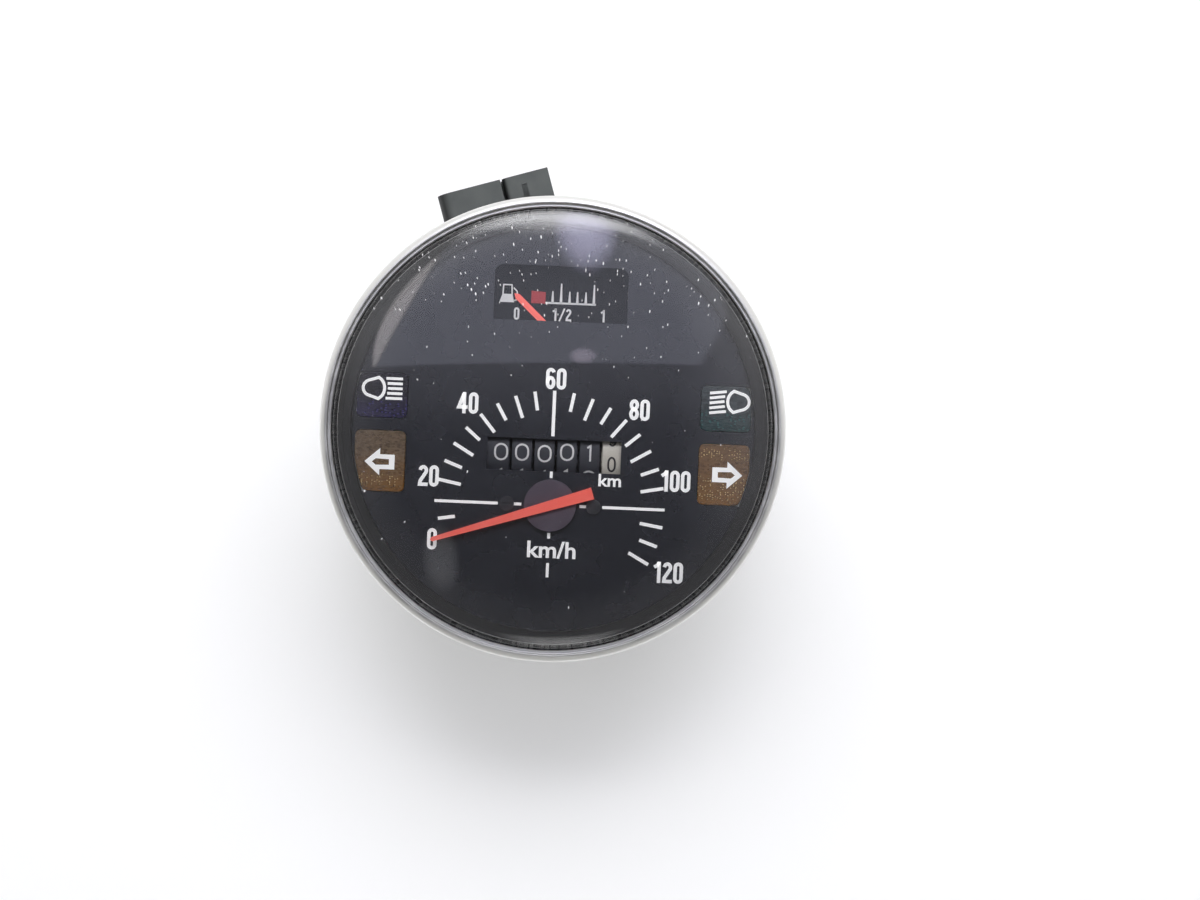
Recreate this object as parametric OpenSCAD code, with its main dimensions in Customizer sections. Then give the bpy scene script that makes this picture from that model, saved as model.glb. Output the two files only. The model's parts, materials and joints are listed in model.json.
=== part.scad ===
// Scooter speedometer: magnetic drag needle, worm driven odometer, fuel gauge and tell-tales.
// The dial faces +Z and 12 o'clock is +Y. The origin is the mouth of the cable nipple.

/* [Bezel and lens] */
// Outer diameter of the bezel
bezel_d = 100; // [97:0.5:112]
// Height of the bezel from its rear lip to its front lip
bezel_h = 7.8; // [7.4:0.1:9]
// Thickness of the bezel's sheet
bezel_sheet = 0.8; // [0.6:0.1:1]
// Width of the bezel's front lip
front_lip = 2.6; // [2:0.1:3.2]
// Height of the lens dome above the bezel's front lip
lens_rise = 6.2; // [4:0.1:9]
// Thickness of the lens
lens_wall = 2; // [1.4:0.1:2.4]

/* [Housing] */
// Depth of the housing behind the panel
housing_depth = 44; // [44:0.5:50]
// Width of the bezel's seat on the panel, outside the housing's body
seat_w = 5.5; // [5:0.1:6]
// How much the body draws in towards its back
housing_draw = 2; // [0:0.1:2.4]
// Wall of the housing
housing_wall = 2; // [1.6:0.1:2.2]

/* [Dial] */
// Distance of the needle's axis below the middle of the dial
needle_drop = 16.5; // [16:0.1:18]
// Thickness of the dial plate
dial_t = 0.8; // [0.6:0.1:1]
// Width of the odometer window
counter_window_w = 29; // [26:0.1:29.4]
// Height of the odometer window
counter_window_h = 7; // [6:0.1:8]
// Width of the fuel window
fuel_window_w = 29; // [24:0.1:30]
// Height of the fuel window
fuel_window_h = 12; // [10:0.1:12.4]
// Distance from the middle of the dial up to the middle of the fuel window
fuel_window_rise = 29.3; // [29:0.1:31]
// Width of the tell-tale windows
tell_w = 11; // [10:0.1:12]
// Distance between the two dial screws
dial_screw_span = 18.8; // [18:0.1:22]

/* [Needles] */
// Length of the speed needle from its axis to its tip
needle_len = 26.4; // [22:0.1:28]
// Length of the speed needle's tail
needle_tail = 9.6; // [7:0.1:11]
// Width of the speed needle's tail
needle_w = 2.6; // [2:0.1:4]
// Diameter of the hub disc under the speed needle
hub_d = 11.2; // [9:0.1:12]
// Length of the fuel needle from its axis to its tip
fuel_needle_len = 14.3; // [12:0.1:15]

/* [Odometer] */
// Distance from one number drum to the next
drum_pitch = 4.9; // [4.8:0.05:5]
// Radius of the number drums
drum_r = 9; // [8.8:0.05:9]
// Gap between two number bands, where the carry pinions run
drum_gap = 0.7; // [0.6:0.05:1.2]
// Radius of the drum shaft
drum_shaft_r = 1; // [0.8:0.05:1.2]

/* [Drive] */
// Radius of the magnet
magnet_r = 10.2; // [9:0.1:10.4]
// Height of the magnet
magnet_h = 6; // [5:0.1:6.5]
// Radius of the drive spindle's journal
journal_r = 2.6; // [2.4:0.05:2.7]
// Side of the square socket for the cable
cable_square = 2.7; // [2.4:0.05:2.8]

/* [Mounting] */
// Outer radius of the threaded cable nipple
nipple_r = 6; // [5.5:0.1:7]
// Length of the nipple behind the housing
nipple_len = 14; // [13:0.5:18]
// Radius of the nipple's bore
nipple_bore_r = 3.5; // [3.2:0.1:3.6]
// Angle of the mounting studs above the bezel's middle
stud_angle = 40; // [39:0.5:46]
// Distance of the mounting studs inside the housing's outer radius
stud_inset = 11.2; // [11:0.1:12]
// Radius of the mounting studs
stud_r = 2.5; // [2:0.1:3]

/* [Connectors] */
// Direction in which the connectors point, counted from +X
connector_angle = 107; // [105:0.5:110]
// Distance of the connectors' mouths from the bezel's axis
connector_reach = 59; // [56:0.5:62]
// Width of the wide connector
main_connector_w = 14.9; // [14:0.1:15]
// Width of the narrow connector
small_connector_w = 10.9; // [10:0.1:12]
// Height of both connectors
connector_h = 11; // [10:0.1:12]

/* [Hidden] */
$fn = 64;

// Clearances
running = 0.05;      // radial clearance of a shaft that turns in its bearing
slip = 0.1;          // clearance of a piece that drops into its seat
axial = 0.15;        // end play beside a turning piece

// Main levels, counted up from the mouth of the cable nipple
back_z = nipple_len;
floor_z = back_z + housing_wall;
seat_z = nipple_len + housing_depth;
bezel_r = bezel_d / 2;
housing_r = bezel_r - seat_w;
bezel_y = needle_drop;
ledge_z = seat_z + bezel_sheet + 0.7;
dial_top = ledge_z + dial_t;
flange_r = bezel_r - bezel_sheet - slip;
flange_top = seat_z + bezel_sheet + 2.2;
seal_top = flange_top + 1.4;
lip_z = seat_z + bezel_h - bezel_sheet;
lens_top = seat_z + bezel_h + lens_rise;
lens_gap = 0.3;
lens_corner_r = 1.6;

// Dial
dial_r = housing_r + 0.8;
dial_seat_r = dial_r + slip;
surround_r = dial_r - 1.7;
window_trim_r = dial_r - 1.9;
spindle_hole_r = 1.6;
counter_x = 0.4;
counter_y = bezel_y - 5.7;
fuel_x = 0.5;
fuel_window_y = bezel_y + fuel_window_rise;
fuel_corner_r = 2;
dial_screw_r = 1.1;
dial_head_r = 1.6;
dial_head_t = 0.9;
dial_slot_w = 0.5;
tell_outer = window_trim_r - 0.7;
tell_inner = tell_outer - tell_w;
tell_corner_r = 1.4;
turn_low = bezel_y - 15;
turn_high = bezel_y - 1.8;
beam_low = bezel_y + 1;
beam_high = bezel_y + 10.8;
window_t = dial_t + 0.3;

// Mechanism frame
frame_wall = 1.8;
frame_base_t = 2;
mechanism_depth = 42.5;
frame_pad = housing_depth - mechanism_depth;
frame_corner_r = 6;
frame_window_r = 4;
ear_w = 7;
base_z = floor_z + frame_pad;
base_top = base_z + frame_base_t;
frame_low_y = -6;
bridge_z = ledge_z - 2.5;
bridge_t = 1.6;
bridge_high_y = 4.5;
boss_r = 2.6;

// Number drums and carry pinions
drum_count = 6;
drum_band = drum_pitch - drum_gap;
drums_left = counter_x - drum_count * drum_pitch / 2;
drums_right = drums_left + drum_count * drum_pitch;
drum_y = counter_y + 0.7;
drum_top_gap = 0.6;
drum_z = ledge_z - drum_top_gap - drum_r;
ring_teeth = 20;
pinion_teeth = 8;
pinion_module = 0.75;
pinion_stub = 0.75;
pinion_shaft_r = 0.8;
pinion_w = drum_gap - 2 * slip;
ring_w = drum_gap / 2 - slip;
carry_disc_r = 6.3;
pinion_y = drum_y + pinion_module * (ring_teeth + pinion_teeth) / 2;

// Spur gears between the layshaft and the first drum
spur_module = 0.6;
layshaft_teeth = 32;
tenths_teeth = 28;
spur_w = 2;
spur_x = drums_right + axial + 0.5;
frame_left = drums_left - axial - 0.5 - frame_wall;
frame_right = spur_x + spur_w + axial + 0.5;

// Worm drive
worm_module = 0.4;
worm_lead = PI * worm_module;
worm_r = 2.4;
worm_add = 0.32;
worm_ded = 0.45;
worm_bore = 1.65;
spindle_teeth = 20;
layshaft_wheel_teeth = 40;
spindle_wheel_r = worm_module * spindle_teeth / 2;
layshaft_wheel_r = worm_module * layshaft_wheel_teeth / 2;
wheel_w = 2;
worm_slack = 0.24;
worm_z = base_top + spindle_wheel_r + worm_add + 0.98;
worm_shaft_x = worm_r + spindle_wheel_r;
worm_shaft_r = 1.4;
layshaft_r = 1.5;
layshaft_z = worm_z + worm_r + layshaft_wheel_r;
spur_centres = spur_module * (layshaft_teeth + tenths_teeth) / 2;
layshaft_y = drum_y + sqrt(pow(spur_centres, 2) - pow(drum_z - layshaft_z, 2));
spindle_worm_len = 5.4;
long_worm_len = 7;
ear_t = 2;
ear_near_y = -4.8;
ear_far_y = layshaft_y + long_worm_len / 2 + 1.2;
frame_high_y = ear_far_y + ear_t + 0.5;

// Magnet, cups and the needle's spindle
flux_z = worm_z + spindle_wheel_r + worm_add + 0.68;
flux_t = 0.8;
magnet_z = flux_z + flux_t + 1.5;
magnet_top = magnet_z + magnet_h;
cup_gap = 0.8;
cup_t = 0.5;
cup_r = magnet_r + cup_gap + cup_t;
flux_wall = 1.2;
flux_r = cup_r + cup_gap + flux_wall;
cup_top = magnet_top + 2;
drive_r = 2;
drive_top = magnet_top + 0.4;
pointer_r = 0.8;
pivot_depth = 2.5;
spring_z = bridge_z - 1.6;
spring_w = 0.4;
spring_r = 3.9;
spring_turns = 3;
collet_r = 1.3;
hub_z = dial_top + 0.6;
hub_t = 1.3;
needle_z = hub_z + hub_t;
needle_t = 1.2;
needle_tip_w = 0.9;
needle_rest = 198.3;

// Cable drive
bush_r = 3.9;
bush_z = back_z - 4;
journal_low = bush_z + 0.2;
journal_top = base_top + 0.4;
nipple_flange_r = 9;
nipple_flange_t = 2;
nipple_spigot_r = 5.4;
socket_depth = 7;

// Fuel gauge
fuel_axis_x = 0.8;
fuel_axis_y = fuel_window_y - 9.9;
fuel_dial_z = ledge_z - 2.7;
fuel_dial_t = 0.6;
fuel_case_r = 9;
fuel_case_h = 10;
fuel_case_z = fuel_dial_z - fuel_case_h;
fuel_case_wall = 1;
fuel_spindle_r = 0.6;
fuel_rotor_r = 3;
fuel_rotor_h = 4;
coil_gap = 0.5;
fuel_rest = 137;
fuel_needle_z = fuel_dial_z + fuel_dial_t + 0.5;
fuel_needle_t = 0.6;
fuel_needle_w = 1.3;
fuel_hub_r = 2;
terminal_r = 1.25;
terminal_spread = 6;

// Electrics
board_t = 1.6;
board_top = floor_z + board_t;
board_r = housing_r - housing_draw - housing_wall - 0.9;
box_wall = 1.2;
box_r = board_r;
bulb_hole_r = 4.8;
holder_flange_r = 6;
holder_flange_t = 2;
holder_r = bulb_hole_r - slip;
holder_top = board_top + 4;
holder_grip_w = 8;
holder_grip_t = 1.8;
holder_grip_h = 2.5;
bulb_r = 2.5;
bulb_len = 13;
bulb_seat = 5;
tell_bulb_x = tell_inner + 1.9;
low_lamp_r = board_r - 6.1;
high_lamp_r = board_r - 9;
high_lamp_angle = 66;
bulb_spots = [
    [tell_bulb_x, (beam_low + beam_high) / 2], [-tell_bulb_x, (beam_low + beam_high) / 2],
    [tell_bulb_x, (turn_low + turn_high) / 2], [-tell_bulb_x, (turn_low + turn_high) / 2],
    [0, bezel_y - low_lamp_r],
    [high_lamp_r * cos(high_lamp_angle), bezel_y + high_lamp_r * sin(high_lamp_angle)]
];

// Connectors, along their own direction from the bezel's axis
connector_root = housing_r - 9;
connector_z = board_top + 0.5;
connector_wall = 1.3;
connector_joint = 0.4;
connector_corner = 3;
socket_len = 15;
connector_split = 2;
connector_groove_h = connector_h * 0.4;
main_connector_t = connector_split - main_connector_w;
small_connector_t = connector_split + connector_joint;
pin_w = 1;
pin_free = 8;
slot_w = 1.3;
slot_len = 5;
slot_inset = 2.4;

// Mounting studs and screws
stud_circle_r = housing_r - stud_inset;
stud_x = stud_circle_r * cos(stud_angle);
stud_y = bezel_y + stud_circle_r * sin(stud_angle);
stud_chamfer = 0.6;
stud_neck_r = stud_r + 0.6;
stud_head_r = 4.5;
stud_head_t = 2;
frame_screw_r = 2;
frame_head_r = 3.6;
frame_head_t = 1.8;
screw_slot_w = 0.8;
bridge_screw_r = 0.6;
bridge_head_r = 1.3;
bridge_screw_len = 3.6;
frame_spots = [[frame_left + 5, 22], [frame_right - 4, 9]];
bridge_spots = [
    [frame_left + frame_wall / 2, 0], [frame_right + frame_wall / 2, 0]
];

// Points on an involute tooth: half the tooth's angle at radius r
function inv(a) = tan(a) * 180 / PI - a;
function tooth_half(r, pitch_r, teeth, slack) =
    let (base_r = pitch_r * cos(20))
    90 / teeth * (1 - slack) + inv(20) - inv(acos(min(1, base_r / max(r, base_r))));

function gear_points(module_mm, teeth, add, ded, slack) =
    let (
        pitch_r = module_mm * teeth / 2,
        radii = [pitch_r - ded, pitch_r - ded / 3, pitch_r + add / 2, pitch_r + add]
    )
    [
        for (i = [0 : teeth - 1])
            for (k = [0 : 7])
                let (
                    r = radii[k < 4 ? k : 7 - k],
                    half = tooth_half(r, pitch_r, teeth, slack),
                    a = 360 / teeth * i + (k < 4 ? -half : half)
                )
                r * [cos(a), sin(a)]
    ];

// Flat gear outline with one tooth centred on +X
module gear_outline(module_mm, teeth, add, ded, slack) {
    polygon(gear_points(module_mm, teeth, add, ded, slack));
}

// Radius of a one-start worm's section, a distance s along the axis from its crest
function worm_section_r(s) =
    let (
        mid = worm_lead / 4 * (1 - worm_slack),
        tip_half = mid - worm_add * tan(20),
        root_half = mid + worm_ded * tan(20)
    )
    abs(s) < tip_half ? worm_r + worm_add
    : abs(s) < root_half ? worm_r + (mid - abs(s)) / tan(20)
    : worm_r - worm_ded;

// One-start worm along Z, its crest on +X at mid-length; hand is 1 for a right-hand thread
module worm(len, hand) {
    steps = 18;
    turns = len / worm_lead;
    turn_angle = 360 * turns * hand;
    section = [
        for (i = [0 : steps - 1])
            let (a = 360 / steps * i, s = worm_lead * (a > 180 ? a - 360 : a) / 360)
            worm_section_r(s) * [cos(a), sin(a)]
    ];
    linear_extrude(
        len, center = true, twist = -turn_angle, slices = ceil(turns * 10), segments = steps
    )
        rotate(-turn_angle / 2)
            difference() {
                polygon(section);
                circle(worm_bore, $fn = 8);
            }
}

// Helical wheel along Z that meshes with the worm; its bore is an octagon
module worm_wheel(teeth, hand, phase) {
    lead_angle = atan(worm_module / 2 / worm_r);
    pitch_r = worm_module * teeth / 2;
    twist_angle = hand * wheel_w * tan(lead_angle) / pitch_r * 180 / PI;
    rotate(phase)
        linear_extrude(wheel_w, center = true, twist = -twist_angle, slices = 2)
            rotate(-twist_angle / 2)
                difference() {
                    gear_outline(worm_module, teeth, worm_add, worm_ded, worm_slack);
                    circle(worm_bore, $fn = 8);
                }
}

// Turns Z to X and keeps Z's old +X side facing down, for shafts across the dial
module along_x() {
    rotate([0, 90, 0]) children();
}

module at_bezel(z) {
    translate([0, bezel_y, z]) children();
}

// Connector frame: X runs across, Y outwards, from the bezel's axis
module at_connectors() {
    translate([0, bezel_y, 0]) rotate(connector_angle - 90) children();
}

module ring(outer, inner, h) {
    difference() {
        cylinder(h, r = outer);
        translate([0, 0, -1]) cylinder(h + 2, r = inner);
    }
}

module rounded_square(size, r) {
    translate([r, 0]) square([size.x - 2 * r, size.y]);
    translate([0, r]) square([size.x, size.y - 2 * r]);
    for (x = [r, size.x - r], y = [r, size.y - r]) translate([x, y]) circle(r);
}

// Openings for the tell-tale windows: side is 1 on the right, -1 on the left
module tell_outline(side, low, high, grow = 0) {
    intersection() {
        translate([0, bezel_y]) circle(window_trim_r + grow);
        translate([(side > 0 ? tell_inner : -tell_outer) - grow, low - grow])
            rounded_square([tell_w + 2 * grow, high - low + 2 * grow], tell_corner_r + grow);
    }
}

// Moulded housing with its flange, dial ledge, floor and cable boss
module housing() {
    inner_r = housing_r - housing_wall;
    color("gainsboro")
        difference() {
            union() {
                at_bezel(0)
                    rotate_extrude($fn = 128)
                        polygon([
                            [0, back_z], [housing_r - housing_draw - 2, back_z],
                            [housing_r - housing_draw, back_z + 2], [housing_r, seat_z],
                            [housing_r, seat_z + bezel_sheet], [flange_r, seat_z + bezel_sheet],
                            [flange_r, flange_top], [dial_seat_r, flange_top],
                            [dial_seat_r, ledge_z], [inner_r, ledge_z],
                            [inner_r - housing_draw, floor_z], [0, floor_z]
                        ]);
                translate([frame_left - 1, frame_low_y - 1, floor_z - 0.5])
                    cube([
                        frame_right - frame_left + frame_wall + 2,
                        frame_high_y - frame_low_y + 2, frame_pad + 0.5
                    ]);
            }
            translate([0, 0, back_z - 1])
                cylinder(housing_wall + frame_pad + 2, r = nipple_spigot_r + slip);
            for (side = [-1, 1])
                translate([side * stud_x, stud_y, back_z - 1])
                    cylinder(housing_wall + 2, r = stud_neck_r + slip);
            for (p = bulb_spots)
                translate([p.x, p.y, back_z - 1]) cylinder(housing_wall + 2, r = bulb_hole_r);
            for (p = frame_spots)
                translate([p.x, p.y, back_z - 1])
                    cylinder(housing_wall + frame_pad + 2, r = frame_screw_r + slip);
            at_connectors()
                translate([main_connector_t - 0.3, connector_root - 1, floor_z])
                    cube([
                        main_connector_w + connector_joint + small_connector_w + 0.6,
                        housing_r - connector_root + 3, board_t + connector_h + 1
                    ]);
        }
}

// Rolled bezel that clamps lens, seal and flange together
module bezel_ring() {
    lip_r = bezel_r - front_lip;
    rear_r = housing_r + 1.7;
    color("silver")
        at_bezel(0)
            rotate_extrude($fn = 128)
                difference() {
                    union() {
                        translate([rear_r, seat_z]) square([bezel_r - 1 - rear_r, bezel_h]);
                        translate([rear_r, seat_z]) square([bezel_r - rear_r, bezel_h - 1]);
                        translate([bezel_r - 1, seat_z + bezel_h - 1]) circle(1, $fn = 32);
                    }
                    translate([0, seat_z + bezel_sheet])
                        square([bezel_r - bezel_sheet, bezel_h - 2 * bezel_sheet]);
                    translate([0, seat_z + bezel_h / 2]) square([lip_r, bezel_h]);
                }
}

// Outline of the domed lens, from the rim of its flange to the top, lowered by d
function dome_points(edge_r, top_z, shoulder_z, corner_r) =
    let (
        rise = top_z - shoulder_z,
        dome_r = (edge_r * edge_r + rise * rise) / (2 * rise),
        half = asin(edge_r / dome_r),
        start = (edge_r - corner_r) / edge_r
    )
    [
        for (i = [0 : 10])
            let (a = half * start * (1 - i / 10))
            [dome_r * sin(a), top_z - dome_r * (1 - cos(a))]
    ];

function shoulder_points(edge_r, low_z, high_z, corner_r) = [
    for (i = [0 : 6])
        let (a = 15 * i)
        [edge_r - corner_r + corner_r * cos(a), low_z + (high_z - low_z) * sin(a)]
];

// Clear lens with a flange under the bezel's lip and a low dome
module lens() {
    edge_r = bezel_r - front_lip - lens_gap;
    corner_r = lens_corner_r;
    outer = dome_points(edge_r, lens_top, lip_z + 2.6, corner_r);
    inner_edge = edge_r - lens_wall;
    inner = dome_points(inner_edge, lens_top - lens_wall, lip_z + 2.6 - lens_wall, corner_r);
    color("lightblue", 0.3)
        at_bezel(0)
            rotate_extrude($fn = 128)
                polygon(concat(
                    [[flange_r - slip, seal_top], [flange_r - slip, lip_z], [edge_r, lip_z]],
                    shoulder_points(edge_r, lip_z + 0.4, outer[0].y, corner_r),
                    outer,
                    [for (i = [10 : -1 : 0]) inner[i]],
                    [[inner_edge, lip_z - 0.4], [inner_edge, seal_top]]
                ));
}

// Rubber seal between the flange and the lens
module lens_seal() {
    color("black")
        at_bezel(flange_top)
            ring(flange_r - slip, dial_seat_r + 0.3, seal_top - flange_top, $fn = 128);
}

// Printed dial with its windows and holes
module dial_plate() {
    color([0.07, 0.07, 0.08])
        translate([0, 0, ledge_z])
            linear_extrude(dial_t)
                difference() {
                    translate([0, bezel_y]) circle(dial_r, $fn = 128);
                    translate([counter_x, counter_y])
                        square([counter_window_w, counter_window_h], center = true);
                    translate([fuel_x, fuel_window_y]) fuel_opening();
                    for (side = [-1, 1]) {
                        tell_outline(side, turn_low, turn_high, slip);
                        tell_outline(side, beam_low, beam_high, slip);
                        translate([side * dial_screw_span / 2, 0]) circle(dial_screw_r + slip);
                    }
                    circle(spindle_hole_r);
                }
}

module fuel_opening() {
    w = fuel_window_w;
    h = fuel_window_h;
    r = fuel_corner_r;
    translate([-w / 2, -h / 2]) square([w, h - r]);
    translate([-w / 2 + r, -h / 2]) square([w - 2 * r, h]);
    for (side = [-1, 1]) translate([side * (w / 2 - r), h / 2 - r]) circle(r);
}

// Ring that holds the dial down under the lens
module dial_surround() {
    color([0.09, 0.09, 0.1])
        at_bezel(dial_top) ring(dial_r, surround_r, seal_top - dial_top, $fn = 128);
}

module tell_window(side, low, high) {
    translate([0, 0, ledge_z]) linear_extrude(window_t) tell_outline(side, low, high);
}

module high_beam_window() {
    color("midnightblue") tell_window(-1, beam_low, beam_high);
}

module low_beam_window() {
    color("darkgreen") tell_window(1, beam_low, beam_high);
}

module left_turn_window() {
    color("darkgoldenrod") tell_window(-1, turn_low, turn_high);
}

module right_turn_window() {
    color("darkgoldenrod") tell_window(1, turn_low, turn_high);
}

// White tunnels that keep each tell-tale's light to its own window
module light_box() {
    low = turn_low - box_wall;
    high = beam_high + box_wall;
    split = (turn_high + beam_low) / 2;
    color("white")
        for (side = [-1, 1])
            difference() {
                translate([0, 0, board_top])
                    linear_extrude(ledge_z - board_top)
                        difference() {
                            box_section(side, low, high, 0);
                            box_section(side, low + box_wall, split - box_wall / 2, box_wall);
                            box_section(side, split + box_wall / 2, high - box_wall, box_wall);
                        }
                for (p = bulb_spots)
                    translate([p.x, p.y, board_top - 1])
                        cylinder(holder_top - board_top + 1.3, r = holder_r + 0.3);
            }
}

module box_section(side, low, high, inset) {
    near = tell_inner - 1.4 - box_wall + inset;
    intersection() {
        translate([0, bezel_y]) circle(box_r - inset);
        translate([side > 0 ? near : -near - box_r, low]) square([box_r, high - low]);
    }
}

module dial_screws() {
    color([0.12, 0.12, 0.13])
        for (side = [-1, 1])
            translate([side * dial_screw_span / 2, 0, 0]) {
                translate([0, 0, dial_top])
                    difference() {
                        cylinder(dial_head_t, r = dial_head_r);
                        translate([-dial_head_r, -dial_slot_w / 2, dial_head_t / 2])
                            cube([2 * dial_head_r, dial_slot_w, dial_head_t]);
                    }
                translate([0, 0, bridge_z + 0.2])
                    cylinder(dial_top - bridge_z - 0.2, r = dial_screw_r);
            }
}

// Tapered speed needle, drawn at rest just below zero
module needle() {
    color("orangered")
        translate([0, 0, needle_z])
            rotate(needle_rest)
                linear_extrude(needle_t)
                    polygon([
                        [-needle_tail, -needle_w / 2], [0, -needle_w / 2 + 0.25],
                        [needle_len, -needle_tip_w / 2], [needle_len + 0.4, 0],
                        [needle_len, needle_tip_w / 2], [0, needle_w / 2 - 0.25],
                        [-needle_tail, needle_w / 2]
                    ]);
}

module needle_hub() {
    color([0.2, 0.2, 0.21])
        translate([0, 0, hub_z])
            difference() {
                union() {
                    cylinder(hub_t, r = hub_d / 2);
                    translate([0, 0, -0.8]) cylinder(1, r = spindle_hole_r - 0.3);
                }
                translate([0, 0, -1]) cylinder(hub_t + 2, r = pointer_r);
            }
}

module pointer_spindle() {
    low = drive_top - pivot_depth + 0.3;
    color("silver") {
        translate([0, 0, low]) cylinder(needle_z - low, r = pointer_r);
        translate([0, 0, spring_z - 0.4]) ring(collet_r, pointer_r - 0.1, 1);
    }
}

// Aluminium cup, open downwards, that the turning magnet drags
module speed_cup() {
    skirt = cup_top - magnet_z;
    color("gainsboro")
        difference() {
            union() {
                translate([0, 0, magnet_z]) cylinder(skirt, r = cup_r);
                translate([0, 0, cup_top - 0.1]) cylinder(0.9, r = 2);
            }
            translate([0, 0, magnet_z - 1]) cylinder(skirt + 1 - cup_t, r = cup_r - cup_t);
            translate([0, 0, magnet_z]) cylinder(skirt + 3, r = pointer_r);
        }
}

// Flat spiral spring round the needle's spindle, its outer end held by the bridge
module hairspring() {
    start_r = collet_r + running + 0.1;
    steps = 24 * spring_turns;
    growth = (spring_r - start_r) / steps;
    outer = [for (i = [0 : steps]) (start_r + 0.12 + growth * i) * [cos(15 * i), sin(15 * i)]];
    inner = [for (i = [steps : -1 : 0]) (start_r + growth * i) * [cos(15 * i), sin(15 * i)]];
    color("goldenrod") {
        translate([0, 0, spring_z]) linear_extrude(spring_w) polygon(concat(outer, inner));
        translate([spring_r + 0.4, 0, spring_z - 0.2])
            cylinder(bridge_z - spring_z + 0.2, r = 0.4);
    }
}

// Bridge over the frame that carries the needle's bearing and the dial screws' bosses
module bridge_plate() {
    span = frame_right + frame_wall - frame_left;
    color("tan")
        difference() {
            union() {
                translate([frame_left, frame_low_y, bridge_z])
                    cube([span, bridge_high_y - frame_low_y, bridge_t]);
                for (side = [-1, 1])
                    translate([side * dial_screw_span / 2, 0, bridge_z])
                        cylinder(ledge_z - bridge_z, r = boss_r);
            }
            translate([0, 0, bridge_z - 1]) cylinder(4, r = pointer_r + running);
            for (side = [-1, 1])
                translate([side * dial_screw_span / 2, 0, bridge_z - 1])
                    cylinder(5, r = dial_screw_r);
            for (p = bridge_spots)
                translate([p.x, p.y, bridge_z - 1]) cylinder(bridge_t + 2, r = bridge_screw_r);
        }
}

module bridge_screws() {
    color("silver")
        for (p = bridge_spots) translate([p.x, p.y, 0]) {
            translate([0, 0, bridge_z + bridge_t]) cylinder(0.6, r = bridge_head_r);
            translate([0, 0, bridge_z + bridge_t - bridge_screw_len])
                cylinder(bridge_screw_len, r = bridge_screw_r);
        }
}

// Side wall of the cast frame in Y and Z, with a lightening hole
module frame_side(x) {
    translate([x, 0, 0])
        difference() {
            translate([0, frame_low_y, base_z])
                cube([frame_wall, frame_high_y - frame_low_y, bridge_z - base_z]);
            translate([-1, frame_high_y, bridge_z])
                along_x() cylinder(frame_wall + 2, r = frame_corner_r);
            translate([-1, 0, layshaft_z])
                along_x() cylinder(frame_wall + 2, r = frame_window_r);
            translate([-1, drum_y, drum_z])
                along_x() cylinder(frame_wall + 2, r = drum_shaft_r);
            translate([-1, pinion_y, drum_z])
                along_x() cylinder(frame_wall + 2, r = pinion_shaft_r);
            translate([-1, layshaft_y, layshaft_z])
                along_x() cylinder(frame_wall + 2, r = layshaft_r + running);
            translate([frame_wall / 2, 0, bridge_z + bridge_t - bridge_screw_len])
                cylinder(bridge_screw_len, r = bridge_screw_r);
        }
}

// Cast frame: base, two side walls and two bearing ears for the worm shaft
module mechanism_frame() {
    color("lightsteelblue")
        difference() {
            union() {
                translate([frame_left, frame_low_y, base_z])
                    cube([
                        frame_right + frame_wall - frame_left,
                        frame_high_y - frame_low_y, frame_base_t
                    ]);
                frame_side(frame_left);
                frame_side(frame_right);
                for (y = [ear_near_y, ear_far_y])
                    translate([worm_shaft_x - ear_w / 2, y, base_z])
                        cube([ear_w, ear_t, worm_z - base_z]);
                for (y = [ear_near_y, ear_far_y])
                    translate([worm_shaft_x, y, worm_z])
                        rotate([-90, 0, 0]) cylinder(ear_t, r = ear_w / 2);
            }
            translate([0, 0, base_z - 1]) cylinder(frame_base_t + 2, r = bush_r);
            translate([worm_shaft_x, ear_near_y - 1, worm_z])
                rotate([-90, 0, 0])
                    cylinder(ear_far_y - ear_near_y + ear_t + 2, r = worm_shaft_r + running);
            for (p = frame_spots)
                translate([p.x, p.y, base_z - 1]) cylinder(frame_base_t + 2, r = frame_screw_r);
        }
}

module frame_screws() {
    color("silver")
        for (p = frame_spots) translate([p.x, p.y, 0]) {
            translate([0, 0, back_z - frame_head_t])
                difference() {
                    cylinder(frame_head_t, r = frame_head_r);
                    translate([-frame_head_r, -screw_slot_w / 2, -1])
                        cube([2 * frame_head_r, screw_slot_w, 1 + frame_head_t / 2]);
                }
            translate([0, 0, back_z]) cylinder(base_top - back_z, r = frame_screw_r);
        }
}

// Turned nipple for the cable's nut, seated on the housing's back
module cable_nipple() {
    color("silver")
        difference() {
            union() {
                cylinder(back_z, r = nipple_r);
                translate([0, 0, back_z - nipple_flange_t])
                    cylinder(nipple_flange_t, r = nipple_flange_r);
                translate([0, 0, back_z]) cylinder(base_z - back_z, r = nipple_spigot_r);
            }
            translate([0, 0, -1]) cylinder(bush_z + 2, r = nipple_bore_r);
            translate([0, 0, bush_z]) cylinder(base_z - bush_z + 1, r = bush_r);
        }
}

module spindle_bush() {
    color("peru")
        translate([0, 0, bush_z]) ring(bush_r, journal_r + running, base_top - bush_z);
}

// Driven spindle: square socket below, journal, worm seat and magnet seat
module drive_spindle() {
    color("gray")
        difference() {
            union() {
                translate([0, 0, journal_low])
                    cylinder(journal_top - journal_low, r = journal_r);
                translate([0, 0, journal_top]) cylinder(flux_z - journal_top, r = worm_shaft_r);
                translate([0, 0, flux_z]) cylinder(drive_top - flux_z, r = drive_r);
            }
            translate([-cable_square / 2, -cable_square / 2, journal_low - 1])
                cube([cable_square, cable_square, socket_depth + 1]);
            translate([0, 0, drive_top - pivot_depth])
                cylinder(pivot_depth + 1, r = pointer_r + running);
        }
}

module spindle_worm() {
    color("gray") translate([0, 0, worm_z]) worm(spindle_worm_len, -1);
}

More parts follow.
